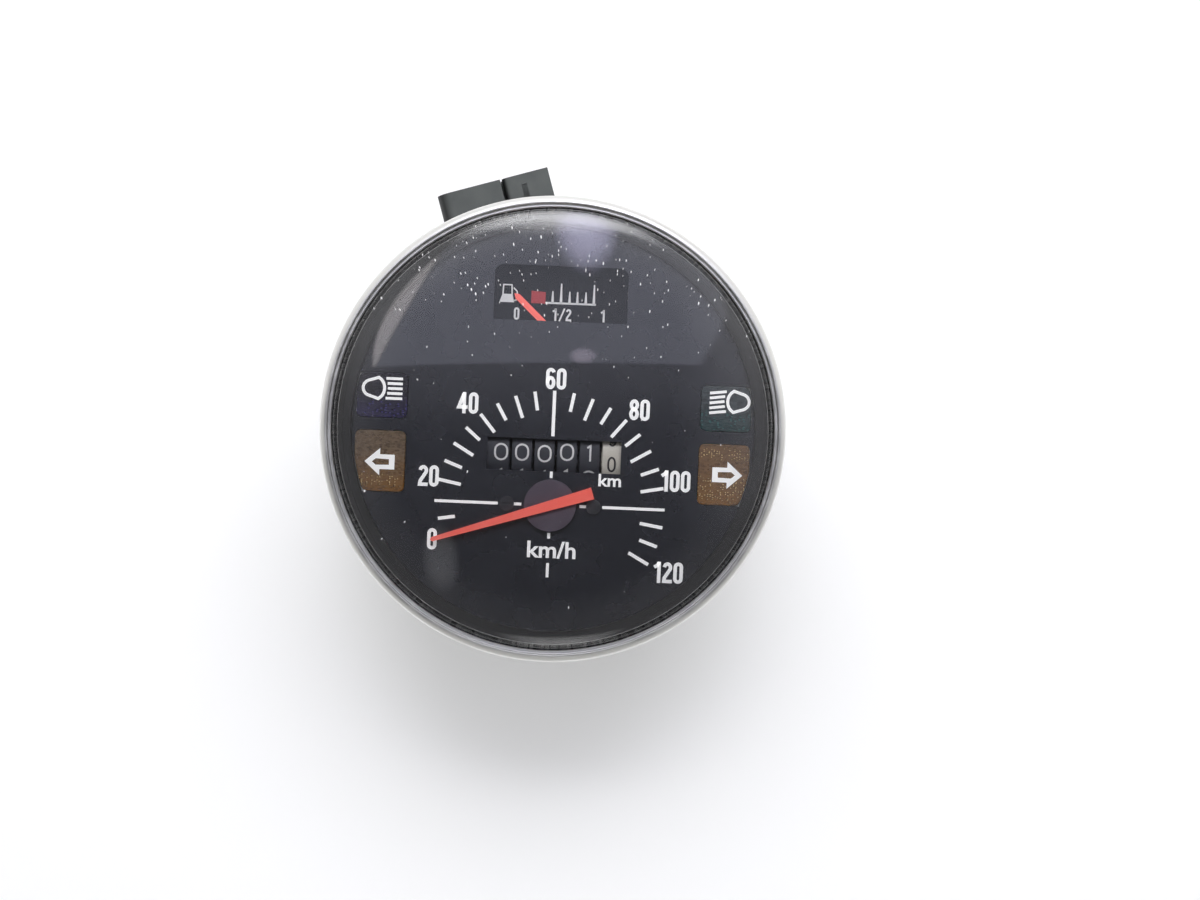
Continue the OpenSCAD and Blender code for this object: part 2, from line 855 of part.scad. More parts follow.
module magnet() {
    color("dimgray") translate([0, 0, magnet_z]) ring(magnet_r, drive_r, magnet_h);
}

// Steel cup behind and round the magnet, turning with it
module flux_cup() {
    h = magnet_top - flux_z + 1.2;
    color("lightgray")
        translate([0, 0, flux_z])
            difference() {
                cylinder(h, r = flux_r);
                translate([0, 0, flux_t]) cylinder(h, r = flux_r - flux_wall);
                translate([0, 0, -1]) cylinder(3, r = drive_r);
            }
    color("dimgray")
        translate([0, 0, flux_z + flux_t]) ring(drive_r + 2, drive_r, magnet_z - flux_z - flux_t);
}

module worm_shaft() {
    low = ear_near_y - 0.6;
    color("silver")
        translate([worm_shaft_x, low, worm_z])
            rotate([-90, 0, 0])
                cylinder(ear_far_y + ear_t + 0.6 - low, r = worm_shaft_r);
}

// Wheel turned by the spindle's left-hand worm
module worm_shaft_wheel() {
    color("ivory")
        translate([worm_shaft_x, 0, worm_z])
            rotate([-90, 0, 0]) worm_wheel(spindle_teeth, -1, 180 + 180 / spindle_teeth);
}

// Right-hand worm under the layshaft, its crest facing up
module worm_shaft_worm() {
    color("ivory")
        translate([worm_shaft_x, layshaft_y, worm_z])
            rotate([-90, 0, 0]) rotate(-90) worm(long_worm_len, 1);
}

module layshaft() {
    low = frame_left - 0.6;
    color("silver")
        translate([low, layshaft_y, layshaft_z])
            along_x() cylinder(frame_right + frame_wall + 0.6 - low, r = layshaft_r);
}

module layshaft_wheel() {
    color("ivory")
        translate([worm_shaft_x, layshaft_y, layshaft_z])
            along_x() worm_wheel(layshaft_wheel_teeth, 1, 180 / layshaft_wheel_teeth);
}

// Angle of the line from the layshaft to the drum shaft, counted in the turned gear's plane
spur_line = atan2(drum_y - layshaft_y, layshaft_z - drum_z);

module layshaft_gear() {
    color("ivory")
        translate([spur_x, layshaft_y, layshaft_z])
            along_x()
                linear_extrude(spur_w)
                    difference() {
                        rotate(spur_line)
                            gear_outline(spur_module, layshaft_teeth, 0.48, 0.66, 0.12);
                        circle(layshaft_r);
                    }
}

module odometer_shaft() {
    low = frame_left - 0.3;
    color("silver")
        translate([low, drum_y, drum_z])
            along_x() cylinder(frame_right + frame_wall + 0.3 - low, r = drum_shaft_r);
}

// Number drum, order 0 at the right; its gear ring faces the next lower drum
module drum(order) {
    low_x = drums_right - (order + 1) * drum_pitch;
    band_x = low_x + (order == drum_count - 1 ? 0 : drum_gap);
    band_w = low_x + drum_pitch - band_x;
    translate([0, drum_y, drum_z])
        difference() {
            union() {
                translate([band_x, 0, 0]) along_x() cylinder(band_w, r = drum_r);
                if (order < drum_count - 1)
                    translate([band_x - ring_w, 0, 0])
                        along_x()
                            difference() {
                                cylinder(ring_w, r = carry_disc_r);
                                translate([carry_disc_r - 0.5, -0.8, -1]) cube([2, 1.6, 3]);
                            }
                if (order > 0)
                    translate([low_x + drum_pitch, 0, 0])
                        along_x()
                            linear_extrude(ring_w)
                                rotate(90)
                                    gear_outline(
                                        pinion_module, ring_teeth,
                                        pinion_module * pinion_stub,
                                        pinion_module * 0.9, 0.2
                                    );
                if (order == 0)
                    translate([band_x + band_w, 0, 0])
                        along_x() {
                            cylinder(spur_x - band_x - band_w, r = 3);
                            translate([0, 0, spur_x - band_x - band_w])
                                linear_extrude(spur_w)
                                    rotate(spur_line + 180 + 180 / tenths_teeth)
                                        gear_outline(spur_module, tenths_teeth, 0.48, 0.66, 0.12);
                        }
            }
            translate([frame_left, 0, 0])
                along_x()
                    cylinder(frame_right - frame_left + frame_wall, r = drum_shaft_r + running);
        }
}

module drum_tenths() { color("ivory") drum(0); }
module drum_units() { color([0.13, 0.13, 0.14]) drum(1); }
module drum_tens() { color([0.13, 0.13, 0.14]) drum(2); }
module drum_hundreds() { color([0.13, 0.13, 0.14]) drum(3); }
module drum_thousands() { color([0.13, 0.13, 0.14]) drum(4); }
module drum_ten_thousands() { color([0.13, 0.13, 0.14]) drum(5); }

module pinion_shaft() {
    low = frame_left - 0.3;
    color("silver")
        translate([low, pinion_y, drum_z])
            along_x() cylinder(frame_right + frame_wall + 0.3 - low, r = pinion_shaft_r);
}

// Carry pinion in the gap between two drums, the first at the right
module carry_pinion(place) {
    gap_x = drums_right - place * drum_pitch;
    color("white")
        translate([gap_x + slip, pinion_y, drum_z])
            along_x()
                linear_extrude(pinion_w)
                    difference() {
                        rotate(-90 + 180 / pinion_teeth)
                            gear_outline(
                                pinion_module, pinion_teeth, pinion_module * pinion_stub,
                                pinion_module * 0.95, 0.2
                            );
                        circle(pinion_shaft_r + running);
                    }
}

module carry_pinion_1() { carry_pinion(1); }
module carry_pinion_2() { carry_pinion(2); }
module carry_pinion_3() { carry_pinion(3); }
module carry_pinion_4() { carry_pinion(4); }
module carry_pinion_5() { carry_pinion(5); }

// Closed case of the moving-magnet fuel gauge
module fuel_gauge_case() {
    color([0.85, 0.85, 0.8])
        translate([fuel_axis_x, fuel_axis_y, fuel_case_z])
            difference() {
                cylinder(fuel_case_h, r = fuel_case_r);
                translate([0, 0, fuel_case_wall])
                    cylinder(fuel_case_h - 2 * fuel_case_wall, r = fuel_case_r - fuel_case_wall);
                translate([0, 0, fuel_case_h / 2])
                    cylinder(fuel_case_h, r = fuel_spindle_r + running);
            }
}

module fuel_coils() {
    inner_r = fuel_rotor_r + coil_gap;
    outer_r = fuel_case_r - fuel_case_wall;
    color("chocolate")
        translate([fuel_axis_x, fuel_axis_y, fuel_case_z + fuel_case_wall])
            ring(outer_r, inner_r, fuel_case_h - 3 * fuel_case_wall);
}

module fuel_rotor() {
    color("dimgray")
        translate([fuel_axis_x, fuel_axis_y, fuel_case_z + 2 * fuel_case_wall])
            ring(fuel_rotor_r, fuel_spindle_r, fuel_rotor_h);
}

module fuel_spindle() {
    low = fuel_case_z + fuel_case_wall + running;
    color("silver")
        translate([fuel_axis_x, fuel_axis_y, low])
            cylinder(fuel_needle_z + fuel_needle_t - low, r = fuel_spindle_r);
}

// Printed scale behind the fuel window, resting on the gauge's case
module fuel_dial() {
    low_y = fuel_axis_y - 4;
    w = fuel_window_w + 4;
    high_y = fuel_window_y + fuel_window_h / 2 + 1.5;
    color([0.07, 0.07, 0.08])
        translate([0, 0, fuel_dial_z])
            linear_extrude(fuel_dial_t)
                difference() {
                    intersection() {
                        translate([fuel_x - w / 2, low_y]) square([w, high_y - low_y]);
                        translate([0, bezel_y]) circle(housing_r - housing_wall - 1.2);
                    }
                    translate([fuel_axis_x, fuel_axis_y]) circle(fuel_spindle_r + 0.4);
                }
}

module fuel_needle() {
    color("orangered")
        translate([fuel_axis_x, fuel_axis_y, fuel_needle_z])
            rotate(fuel_rest)
                linear_extrude(fuel_needle_t)
                    difference() {
                        union() {
                            circle(fuel_hub_r);
                            polygon([
                                [-3, -fuel_needle_w / 2], [fuel_needle_len - 1, -fuel_needle_w / 2],
                                [fuel_needle_len, 0], [fuel_needle_len - 1, fuel_needle_w / 2],
                                [-3, fuel_needle_w / 2]
                            ]);
                        }
                        circle(fuel_spindle_r);
                    }
}

// Brass posts that carry the gauge on the circuit board
module fuel_terminals() {
    color("gold")
        for (a = [30, 90, 150])
            translate([
                fuel_axis_x + terminal_spread * cos(a), fuel_axis_y + terminal_spread * sin(a),
                board_top
            ])
                cylinder(fuel_case_z - board_top, r = terminal_r);
}

module circuit_board() {
    gap = 0.4;
    color("seagreen")
        translate([0, 0, floor_z])
            linear_extrude(board_t)
                difference() {
                    translate([0, bezel_y]) circle(board_r);
                    translate([frame_left - 1 - gap, frame_low_y - 1 - gap])
                        square([
                            frame_right - frame_left + frame_wall + 2 + 2 * gap,
                            frame_high_y - frame_low_y + 2 + 2 * gap
                        ]);
                    for (p = bulb_spots) translate([p.x, p.y]) circle(bulb_hole_r);
                    for (side = [-1, 1])
                        translate([side * stud_x, stud_y]) circle(stud_head_r + gap);
                }
}

// Twist-in bulb holders, seated on the housing's back
module bulb_holders() {
    color([0.15, 0.15, 0.16])
        for (p = bulb_spots) translate([p.x, p.y, 0])
            difference() {
                union() {
                    translate([0, 0, back_z - holder_flange_t])
                        cylinder(holder_flange_t, r = holder_flange_r);
                    translate([0, 0, back_z]) cylinder(holder_top - back_z, r = holder_r);
                    translate([
                        -holder_grip_w / 2, -holder_grip_t / 2,
                        back_z - holder_flange_t - holder_grip_h
                    ])
                        cube([holder_grip_w, holder_grip_t, holder_grip_h + holder_flange_t]);
                }
                translate([0, 0, holder_top - bulb_seat]) cylinder(bulb_seat + 1, r = bulb_r);
            }
}

module bulbs() {
    color("lightyellow", 0.5)
        for (p = bulb_spots) translate([p.x, p.y, holder_top - bulb_seat]) {
            cylinder(bulb_len - bulb_r, r = bulb_r);
            translate([0, 0, bulb_len - bulb_r]) sphere(bulb_r);
        }
}

// Connector shroud: section across and up, two of its corners round, socket at the mouth
module connector_shroud(w, h, corner) {
    len = connector_reach - connector_root;
    difference() {
        translate([0, connector_reach, 0])
            rotate([90, 0, 0])
                linear_extrude(len)
                    union() {
                        translate([0, 0]) square([w, h - corner]);
                        translate([corner, 0]) square([w - corner, h]);
                        translate([corner, h - corner]) circle(corner);
                    }
        translate([connector_wall, connector_reach - socket_len, connector_wall])
            cube([w - 2 * connector_wall, socket_len + 1, h - 2 * connector_wall]);
    }
}

module main_connector() {
    color([0.13, 0.13, 0.14])
        at_connectors()
            translate([main_connector_t, 0, connector_z])
                difference() {
                    connector_shroud(main_connector_w, connector_h, connector_corner);
                    pin_cuts(main_connector_w, 4);
                }
}

module small_connector() {
    color([0.13, 0.13, 0.14])
        at_connectors()
            translate([small_connector_t, 0, connector_z])
                difference() {
                    union() {
                        connector_shroud(small_connector_w, connector_h, connector_corner / 2);
                        translate([running - connector_joint, connector_root, 0])
                            cube([
                                connector_joint, connector_reach - connector_root,
                                connector_h - connector_groove_h
                            ]);
                    }
                    pin_cuts(small_connector_w, 3);
                    translate([
                        small_connector_w * 0.38,
                        connector_reach - slot_inset - slot_len, connector_h - connector_wall - 1
                    ])
                        cube([slot_w, slot_len, connector_wall + 2]);
                }
}

// Places of a connector's pins across its width
function pin_places(w, count) = [
    for (i = [0 : count - 1])
        connector_wall + (w - 2 * connector_wall) * (i + 0.5) / count - pin_w / 2
];

module pin_cuts(w, count) {
    for (x = pin_places(w, count))
        translate([x, connector_root - 1, connector_h / 2 - pin_w / 2])
            cube([pin_w, connector_reach - connector_root - socket_len + 2, pin_w]);
}

module pin_row(w, count) {
    for (x = pin_places(w, count)) {
        translate([x, connector_root - 2, connector_h / 2 - pin_w / 2])
            cube([
                pin_w, connector_reach - connector_root - socket_len + 2 + pin_free, pin_w
            ]);
        translate([x, connector_root - 2, -connector_z + board_top])
            cube([pin_w, pin_w, connector_z - board_top + connector_h / 2]);
    }
}

module connector_pins() {
    color("gold")
        at_connectors() {
            translate([main_connector_t, 0, connector_z]) pin_row(main_connector_w, 4);
            translate([small_connector_t, 0, connector_z]) pin_row(small_connector_w, 3);
        }
}

// Threaded studs whose thicker necks fill their holes in the housing's back
module mounting_studs() {
    color("silver")
        for (side = [-1, 1]) translate([side * stud_x, stud_y, 0]) {
            translate([0, 0, stud_chamfer]) cylinder(back_z - stud_chamfer, r = stud_r);
            cylinder(stud_chamfer, r1 = stud_r - stud_chamfer, r2 = stud_r);
            translate([0, 0, back_z]) cylinder(housing_wall, r = stud_neck_r);
            translate([0, 0, floor_z]) cylinder(stud_head_t, r = stud_head_r);
        }
}

housing();
bezel_ring();
lens();
lens_seal();
dial_plate();
dial_surround();
high_beam_window();
low_beam_window();
left_turn_window();
right_turn_window();
light_box();
dial_screws();
needle();
needle_hub();
pointer_spindle();
speed_cup();
hairspring();
bridge_plate();
bridge_screws();
mechanism_frame();
frame_screws();
cable_nipple();
spindle_bush();
drive_spindle();
spindle_worm();
magnet();
flux_cup();
worm_shaft();
worm_shaft_wheel();
worm_shaft_worm();
layshaft();
layshaft_wheel();
layshaft_gear();
odometer_shaft();
drum_tenths();
drum_units();
drum_tens();
drum_hundreds();
drum_thousands();
drum_ten_thousands();
pinion_shaft();
carry_pinion_1();
carry_pinion_2();
carry_pinion_3();
carry_pinion_4();
carry_pinion_5();
fuel_gauge_case();
fuel_coils();
fuel_rotor();
fuel_spindle();
fuel_dial();
fuel_needle();
fuel_terminals();
circuit_board();
bulb_holders();
bulbs();
main_connector();
small_connector();
connector_pins();
mounting_studs();
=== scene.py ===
# %% [markdown]
# # A scooter speedometer: finishes, print and studio light
# The dial, needle, odometer and fuel gauge sit under a domed clear lens, held by a rolled
# bright bezel. The solids come packed, each node on its moving body, so this lesson starts by
# loading them and adds only what a solid model leaves out: finishes, printed marks, drum
# figures, screw threads and light. Everything is in metres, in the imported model's own frame.

import json
import math

import bpy
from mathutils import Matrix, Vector


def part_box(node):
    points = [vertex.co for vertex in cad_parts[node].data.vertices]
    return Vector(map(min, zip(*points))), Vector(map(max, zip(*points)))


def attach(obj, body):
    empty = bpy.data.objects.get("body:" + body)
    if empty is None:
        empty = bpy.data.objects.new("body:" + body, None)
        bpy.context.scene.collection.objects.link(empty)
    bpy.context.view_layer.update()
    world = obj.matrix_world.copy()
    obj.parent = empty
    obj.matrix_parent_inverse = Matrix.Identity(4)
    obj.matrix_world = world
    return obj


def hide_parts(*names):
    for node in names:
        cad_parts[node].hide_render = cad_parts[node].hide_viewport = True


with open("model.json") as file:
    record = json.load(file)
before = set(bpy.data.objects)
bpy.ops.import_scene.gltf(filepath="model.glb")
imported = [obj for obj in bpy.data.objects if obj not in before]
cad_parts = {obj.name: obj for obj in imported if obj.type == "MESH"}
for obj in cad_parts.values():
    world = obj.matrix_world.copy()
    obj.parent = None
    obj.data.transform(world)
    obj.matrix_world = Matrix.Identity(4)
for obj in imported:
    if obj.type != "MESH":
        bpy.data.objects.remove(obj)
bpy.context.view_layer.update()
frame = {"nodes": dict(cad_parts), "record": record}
solids = frame["nodes"]

# %% [markdown]
# ## Measures that the pieces share
# The needle's axis is at (0, 0) and the bezel's axis a little above it, so marks are placed
# from one or the other. Centres and levels are read off the solids, so a mark always lies on
# its own surface. Points are in millimetres; each mesh is scaled once, when it is made.

# %% Levels and centres in millimetres
MM = 0.001


def low_mm(node):
    return [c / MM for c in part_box(node)[0]]


def high_mm(node):
    return [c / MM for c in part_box(node)[1]]


dial_face = high_mm("dial_plate")[2]
window_face = high_mm("left_turn_window")[2]
fuel_face = high_mm("fuel_dial")[2]
bezel_r = (high_mm("bezel_ring")[0] - low_mm("bezel_ring")[0]) / 2
BEZEL_Y = (high_mm("bezel_ring")[1] + low_mm("bezel_ring")[1]) / 2
print("dial", round(dial_face, 2), "windows", round(window_face, 2), "bezel r", round(bezel_r, 2))

# %% [markdown]
# ## Materials from nodes
# Each finish is a small network: a shader, and noise that shifts its colour, its gloss and
# its relief a little, because no moulded or turned surface is quite even. One helper makes an
# empty material, another adds a node, sets its sockets and joins the links. Values that are
# the same all over go straight on the shader's socket.

# %% Helpers for materials
def empty_material(name):
    material = bpy.data.materials.new(name)
    material.use_nodes = True
    material.node_tree.nodes.clear()
    return material, material.node_tree


def add_node(tree, kind, sockets=None, **settings):
    made = tree.nodes.new("ShaderNode" + kind)
    for key, value in settings.items():
        setattr(made, key, value)
    for key, value in (sockets or {}).items():
        if isinstance(value, bpy.types.NodeSocket):
            tree.links.new(value, made.inputs[key])
        else:
            made.inputs[key].default_value = value
    return made


def maths(tree, operation, first, second=0.0, third=0.0):
    return add_node(tree, "Math", {0: first, 1: second, 2: third}, operation=operation).outputs[0]


def times(tree, first, second):
    return maths(tree, "MULTIPLY", first, second)


def rgba(colour):
    return (*colour, 1.0)


print("material helpers ready")

# %% [markdown]
# ## Nodes that most finishes need
# Nearly every finish asks for the same few nodes: the place on the piece, noise, a value moved
# from one range to another, a mixture of two colours, relief and the output. Each of them is
# a short helper, so that a finish below reads like its description.

# %% Short helpers for finishes
def object_point(tree):
    return add_node(tree, "TexCoord").outputs["Object"]


def noise(tree, place, scale, detail):
    return add_node(tree, "TexNoise", {"Vector": place, "Scale": scale, "Detail": detail}).outputs["Fac"]


def remap(tree, value, low, high, start=0.0, end=1.0, curve="LINEAR"):
    """Takes low to start and high to end, and holds those ends beyond them."""
    sockets = {"Value": value, "From Min": low, "From Max": high, "To Min": start, "To Max": end}
    return add_node(tree, "MapRange", sockets, interpolation_type=curve).outputs[0]


def distance(tree, x, y):
    squares = maths(tree, "ADD", times(tree, x, x), times(tree, y, y))
    return maths(tree, "SQRT", squares)


def blend_colours(tree, share, first, second):
    mix = add_node(tree, "Mix", {0: share, 6: first, 7: second}, data_type="RGBA")
    return mix.outputs[2]


def bump(tree, height, depth_mm, strength=1.0):
    sockets = {"Height": height, "Strength": strength, "Distance": depth_mm * MM}
    return add_node(tree, "Bump", sockets).outputs[0]


def show(tree, shader):
    add_node(tree, "OutputMaterial", {"Surface": shader.outputs[0]})


print("finish helpers ready")

# %% [markdown]
# ## One recipe for plain surfaces
# Moulded plastic, turned metal, castings and rubber differ in four things: how much the
# colour wanders, how glossy they are, how coarse their relief is, and whether the relief runs
# in one direction, as tool marks do. One function with those four measures covers them all,
# so a finish is one line. The grain size is in millimetres, as it would be on a drawing.

# %% The recipe
def plain_surface(name, colour, other, grain, gloss, relief, metal=0.0, stretch=(1, 1, 1), **shader):
    material, tree = empty_material(name)
    place = add_node(tree, "Mapping", {"Vector": object_point(tree), "Scale": stretch}).outputs[0]
    cloud = noise(tree, place, 60 / grain, 3.0)
    grit = noise(tree, place, 1000 / grain, 2.0)
    share = maths(tree, "ADD", maths(tree, "MULTIPLY_ADD", grit, 0.5, -0.25), cloud)
    spread = remap(tree, share, 0.3, 0.7)
    surface = add_node(tree, "BsdfPrincipled", {
        "Base Color": blend_colours(tree, spread, rgba(colour), rgba(other)),
        "Roughness": remap(tree, cloud, 0.3, 0.7, *gloss),
        "Normal": bump(tree, grit, relief), "Metallic": metal, **shader})
    show(tree, surface)
    return material


finishes = {}
print("recipe ready")

# %% [markdown]
# ## Moulded plastics and rubber
# The housing and gauge case are pale mouldings with a fine spark-eroded texture. The lamp
# holders are black glass-filled nylon. The number drums are matt, so that no lamp glares on
# their figures. Each row gives a slot two colours, its grain, its range of gloss and the
# depth of its relief in millimetres.

# %% Plastics and rubber
for slot, colour, other, grain, gloss, relief in [
    ("housing_plastic", (0.68, 0.68, 0.66), (0.705, 0.705, 0.685), 0.5, (0.42, 0.55), 0.02),
    ("white_plastic", (0.80, 0.80, 0.77), (0.86, 0.86, 0.84), 0.5, (0.35, 0.45), 0.01),
    ("gauge_case", (0.72, 0.72, 0.67), (0.79, 0.79, 0.74), 0.5, (0.38, 0.5), 0.015),
    ("nylon", (0.78, 0.75, 0.66), (0.84, 0.81, 0.73), 0.4, (0.32, 0.42), 0.01),
    ("black_plastic", (0.016, 0.018, 0.018), (0.035, 0.038, 0.037), 0.35, (0.38, 0.6), 0.03),
    ("drum_black", (0.045, 0.047, 0.058), (0.053, 0.055, 0.069), 0.4, (0.5, 0.6), 0.006),
    ("drum_white", (0.62, 0.59, 0.52), (0.70, 0.67, 0.60), 0.4, (0.3, 0.4), 0.008),
    ("hub_grey", (0.086, 0.070, 0.094), (0.105, 0.086, 0.114), 0.3, (0.5, 0.62), 0.02),
    ("seal_rubber", (0.010, 0.010, 0.011), (0.015, 0.015, 0.016), 0.3, (0.55, 0.65), 0.008),
]:
    finishes[slot] = plain_surface(slot, colour, other, grain, gloss, relief)
print("plastics", len(finishes))

# %% [markdown]
# ## Plugs with painted shade
# Black nylon is grey where it faces up and dark on its sides and rounded edges; that darkening
# is painted shade. The upward part of the surface normal says how far a spot faces up, so it mixes the
# two.

# %% Nylon with painted shade
def nylon_with_painted_shade():
    material, tree = empty_material("plug_grey")
    normal = add_node(tree, "NewGeometry").outputs["Normal"]
    upward = add_node(tree, "SeparateXYZ", {0: normal}).outputs["Z"]
    spot = object_point(tree)
    upward_grey = blend_colours(tree, noise(tree, spot, 170.0, 4.0),
                          rgba((0.052, 0.057, 0.056)), rgba((0.100, 0.108, 0.105)))
    # Painted shade: the colour darkens as the surface turns away from straight up.
    share = remap(tree, upward, 0.80, 0.995)
    nylon = add_node(tree, "BsdfPrincipled", {
        "Base Color": blend_colours(tree, share, rgba((0.012, 0.013, 0.013)), upward_grey),
        "Roughness": 0.5, "Normal": bump(tree, noise(tree, spot, 2900.0, 2.0), 0.02)})
    show(tree, nylon)
    return material


finishes["plug_grey"] = nylon_with_painted_shade()
print("faded nylon ready")

# %% [markdown]
# ## Metals
# Spindles and shafts are turned, so their marks run round them. Noise that is squeezed along
# the upright axis and stretched across it gives such fine rings. Castings and the sintered
# magnet are duller and coarser.

# %% Steel, brass, aluminium, castings
for slot, colour, other, grain, gloss, relief, stretch in [
    ("steel", (0.56, 0.57, 0.59), (0.66, 0.67, 0.69), 0.3, (0.22, 0.36), 0.006, (0.3, 0.3, 3)),
    ("dark_steel", (0.09, 0.09, 0.095), (0.15, 0.15, 0.16), 0.3, (0.3, 0.5), 0.01, (1, 1, 1)),
    ("aluminium", (0.72, 0.73, 0.75), (0.82, 0.83, 0.85), 0.3, (0.25, 0.38), 0.006, (0.3, 0.3, 3)),
    ("brass", (0.62, 0.42, 0.16), (0.74, 0.54, 0.25), 0.3, (0.22, 0.36), 0.006, (0.3, 0.3, 3)),
    ("bridge_steel", (0.50, 0.47, 0.36), (0.62, 0.58, 0.44), 0.6, (0.3, 0.45), 0.008, (1, 1, 1)),
    ("cast_zinc", (0.42, 0.43, 0.45), (0.52, 0.53, 0.55), 0.7, (0.42, 0.6), 0.04, (1, 1, 1)),
    ("magnet_iron", (0.10, 0.10, 0.11), (0.16, 0.16, 0.17), 0.4, (0.5, 0.65), 0.04, (1, 1, 1)),
    ("copper_coils", (0.48, 0.20, 0.08), (0.62, 0.29, 0.13), 0.12, (0.25, 0.4), 0.05, (0.1, 0.1, 5)),
]:
    finishes[slot] = plain_surface(slot, colour, other, grain, gloss, relief, 1.0, stretch)
print("metals ready", sorted(finishes)[:4])

# %% [markdown]
# ## The bezel's metal
# The bezel is a strip of stainless sheet, rolled over lens and housing. It is satin bright,
# with fine marks that follow its circumference. Round marks come from noise that is read in
# polar form: the distance from the bezel's axis varies fast and the angle slowly, which wraps
# the grain round the ring.

# %% Satin bezel
def bezel_metal():
    material, tree = empty_material("bezel_metal")
    spot = object_point(tree)
    axes = add_node(tree, "SeparateXYZ", {0: spot}).outputs
    up = maths(tree, "SUBTRACT", axes["Y"], BEZEL_Y * MM)
    round_scale, fine_scale = 1.2, 2600.0
    polar = add_node(tree, "CombineXYZ", {
        0: times(tree, maths(tree, "ARCTAN2", up, axes["X"]), round_scale),
        1: times(tree, distance(tree, axes["X"], up), fine_scale),
        2: times(tree, axes["Z"], fine_scale)}).outputs[0]
    marks = noise(tree, polar, 1.0, 3.0)
    dull = remap(tree, noise(tree, spot, 240.0, 5.0), 0.45, 0.7, 0.30, 0.46)
    shade = maths(tree, "MULTIPLY_ADD", marks, 0.6, 0.2)
    paint = blend_colours(tree, shade, rgba((0.72, 0.715, 0.695)), rgba((0.90, 0.895, 0.865)))
    metal = add_node(tree, "BsdfPrincipled", {
        "Base Color": paint, "Metallic": 1.0, "Roughness": dull,
        "Normal": bump(tree, marks, 0.006, 0.6)})
    show(tree, metal)
    return material


finishes["bezel_metal"] = bezel_metal()
print("bezel metal ready")

# %% [markdown]
# ## Dial black, needle orange-red and print white
# The dial is screen printed on sheet metal: a dense satin black with a faint tooth. The
# needle is fluorescent plastic, a little brighter than its paint would be; a painted glow of
# its own, which shines with no lamp, gives that. The white ink is laid on thick and gets the
# same painted glow, so it stands out under the lens. The drums and the fuel scale carry a duller ink.

# %% Inks and needle
def painted_glow(colour, strength):
    return {"Emission Color": rgba(colour), "Emission Strength": strength}


finishes["dial_black"] = plain_surface(
    "dial_black", (0.0070, 0.0082, 0.0155), (0.0085, 0.0100, 0.0180), 0.5, (0.25, 0.29), 0.0008,
    **{"Specular IOR Level": 1.0, "Coat Weight": 0.8, "Coat Roughness": 0.25})
# The needle's emission is a painted glow: it shines with no lamp.
finishes["needle_red"] = plain_surface(
    "needle_red", (0.91, 0.135, 0.105), (0.93, 0.165, 0.135), 0.6, (0.34, 0.44), 0.006,
    **painted_glow((0.9, 0.15, 0.11), 0.22))
# The white ink's emission is a painted glow as well.
white_ink = plain_surface(
    "white_ink", (0.90, 0.90, 0.90), (0.93, 0.93, 0.93), 0.3, (0.5, 0.6), 0.01,
    **painted_glow((1.0, 1.0, 1.0), 0.27))
drum_ink = plain_surface(
    "drum_ink", (0.68, 0.68, 0.69), (0.80, 0.80, 0.80), 0.3, (0.45, 0.55), 0.01)
dark_ink = plain_surface(
    "dark_ink", (0.030, 0.027, 0.030), (0.05, 0.045, 0.05), 0.3, (0.45, 0.55), 0.01)
fuel_red_ink = plain_surface(
    "fuel_red_ink", (0.34, 0.022, 0.028), (0.42, 0.035, 0.040), 0.3, (0.5, 0.6), 0.01)
fuel_black = plain_surface(
    "fuel_black", (0.006, 0.006, 0.007), (0.009, 0.009, 0.010), 0.25, (0.8, 0.9), 0.01,
    **{"Specular IOR Level": 0.1})
print("inks ready")

# %% [markdown]
# ## Tell-tale window plastics
# Each window is a tinted block with small prisms moulded in, which scatter the lamp's light.
# Cells of a Voronoi texture stand for the prisms: their edges lift the surface and some of them
# are darker. In a band of the window some cells are painted bright in golden or violet, a
# painted highlight for the studio light that the prisms catch. Each window is deeper in colour
# towards its top, and the two amber ones differ a little in colour and in their glint bands.

# %% Prismatic window material
def window_plastic(name, deep, pale, glint_colour, span, bands, cell_mm, glint_share):
    """Pale at the low end of span and deep at its high end; painted glints lie in the bands."""
    material, tree = empty_material(name)
    spot = object_point(tree)
    level = add_node(tree, "SeparateXYZ", {0: spot}).outputs["Y"]
    squash = add_node(tree, "Mapping", {"Vector": spot, "Scale": (1.0, 1.7, 1.0)}).outputs[0]
    cells = add_node(tree, "TexVoronoi", {"Vector": squash, "Scale": 1000 / cell_mm,
                                          "Randomness": 0.8}, voronoi_dimensions="2D").outputs
    pick = add_node(tree, "SeparateColor", {0: cells["Color"]}).outputs[0]
    fall = remap(tree, level, span[0] * MM, span[1] * MM, 1.1, -0.1)
    tint = maths(tree, "MULTIPLY_ADD", noise(tree, spot, 320.0, 4.0), 0.8,
                 maths(tree, "SUBTRACT", fall, 0.6))
    tint = maths(tree, "MULTIPLY_ADD", pick, 0.4, tint)
    grain = times(tree, maths(tree, "POWER", pick, 2.0), 0.75)
    body = blend_colours(tree, tint, rgba(deep), rgba(pale))
    body = blend_colours(tree, grain, body, rgba([0.25 * part for part in deep]))
    where = 0.0
    for middle, half in bands:
        away = maths(tree, "ABSOLUTE", maths(tree, "SUBTRACT", level, middle * MM))
        where = maths(tree, "MAXIMUM", remap(tree, away, half * MM * 0.4, half * MM, 1.0, 0.0), where)
    # Painted highlight: bright cells in the bands stand for light that the prisms catch.
    painted_glints = times(tree, maths(tree, "LESS_THAN", cells["Distance"], 0.28),
                maths(tree, "GREATER_THAN", pick, 1 - glint_share))
    painted_glints = times(tree, painted_glints, where)
    plastic = add_node(tree, "BsdfPrincipled", {
        "Base Color": blend_colours(tree, painted_glints, body, rgba(glint_colour)), "Roughness": 0.22,
        "Normal": bump(tree, cells["Distance"], 0.08, 0.7), "Coat Weight": 0.4, "Coat Roughness": 0.15})
    show(tree, plastic)
    return material


print("window recipe ready")

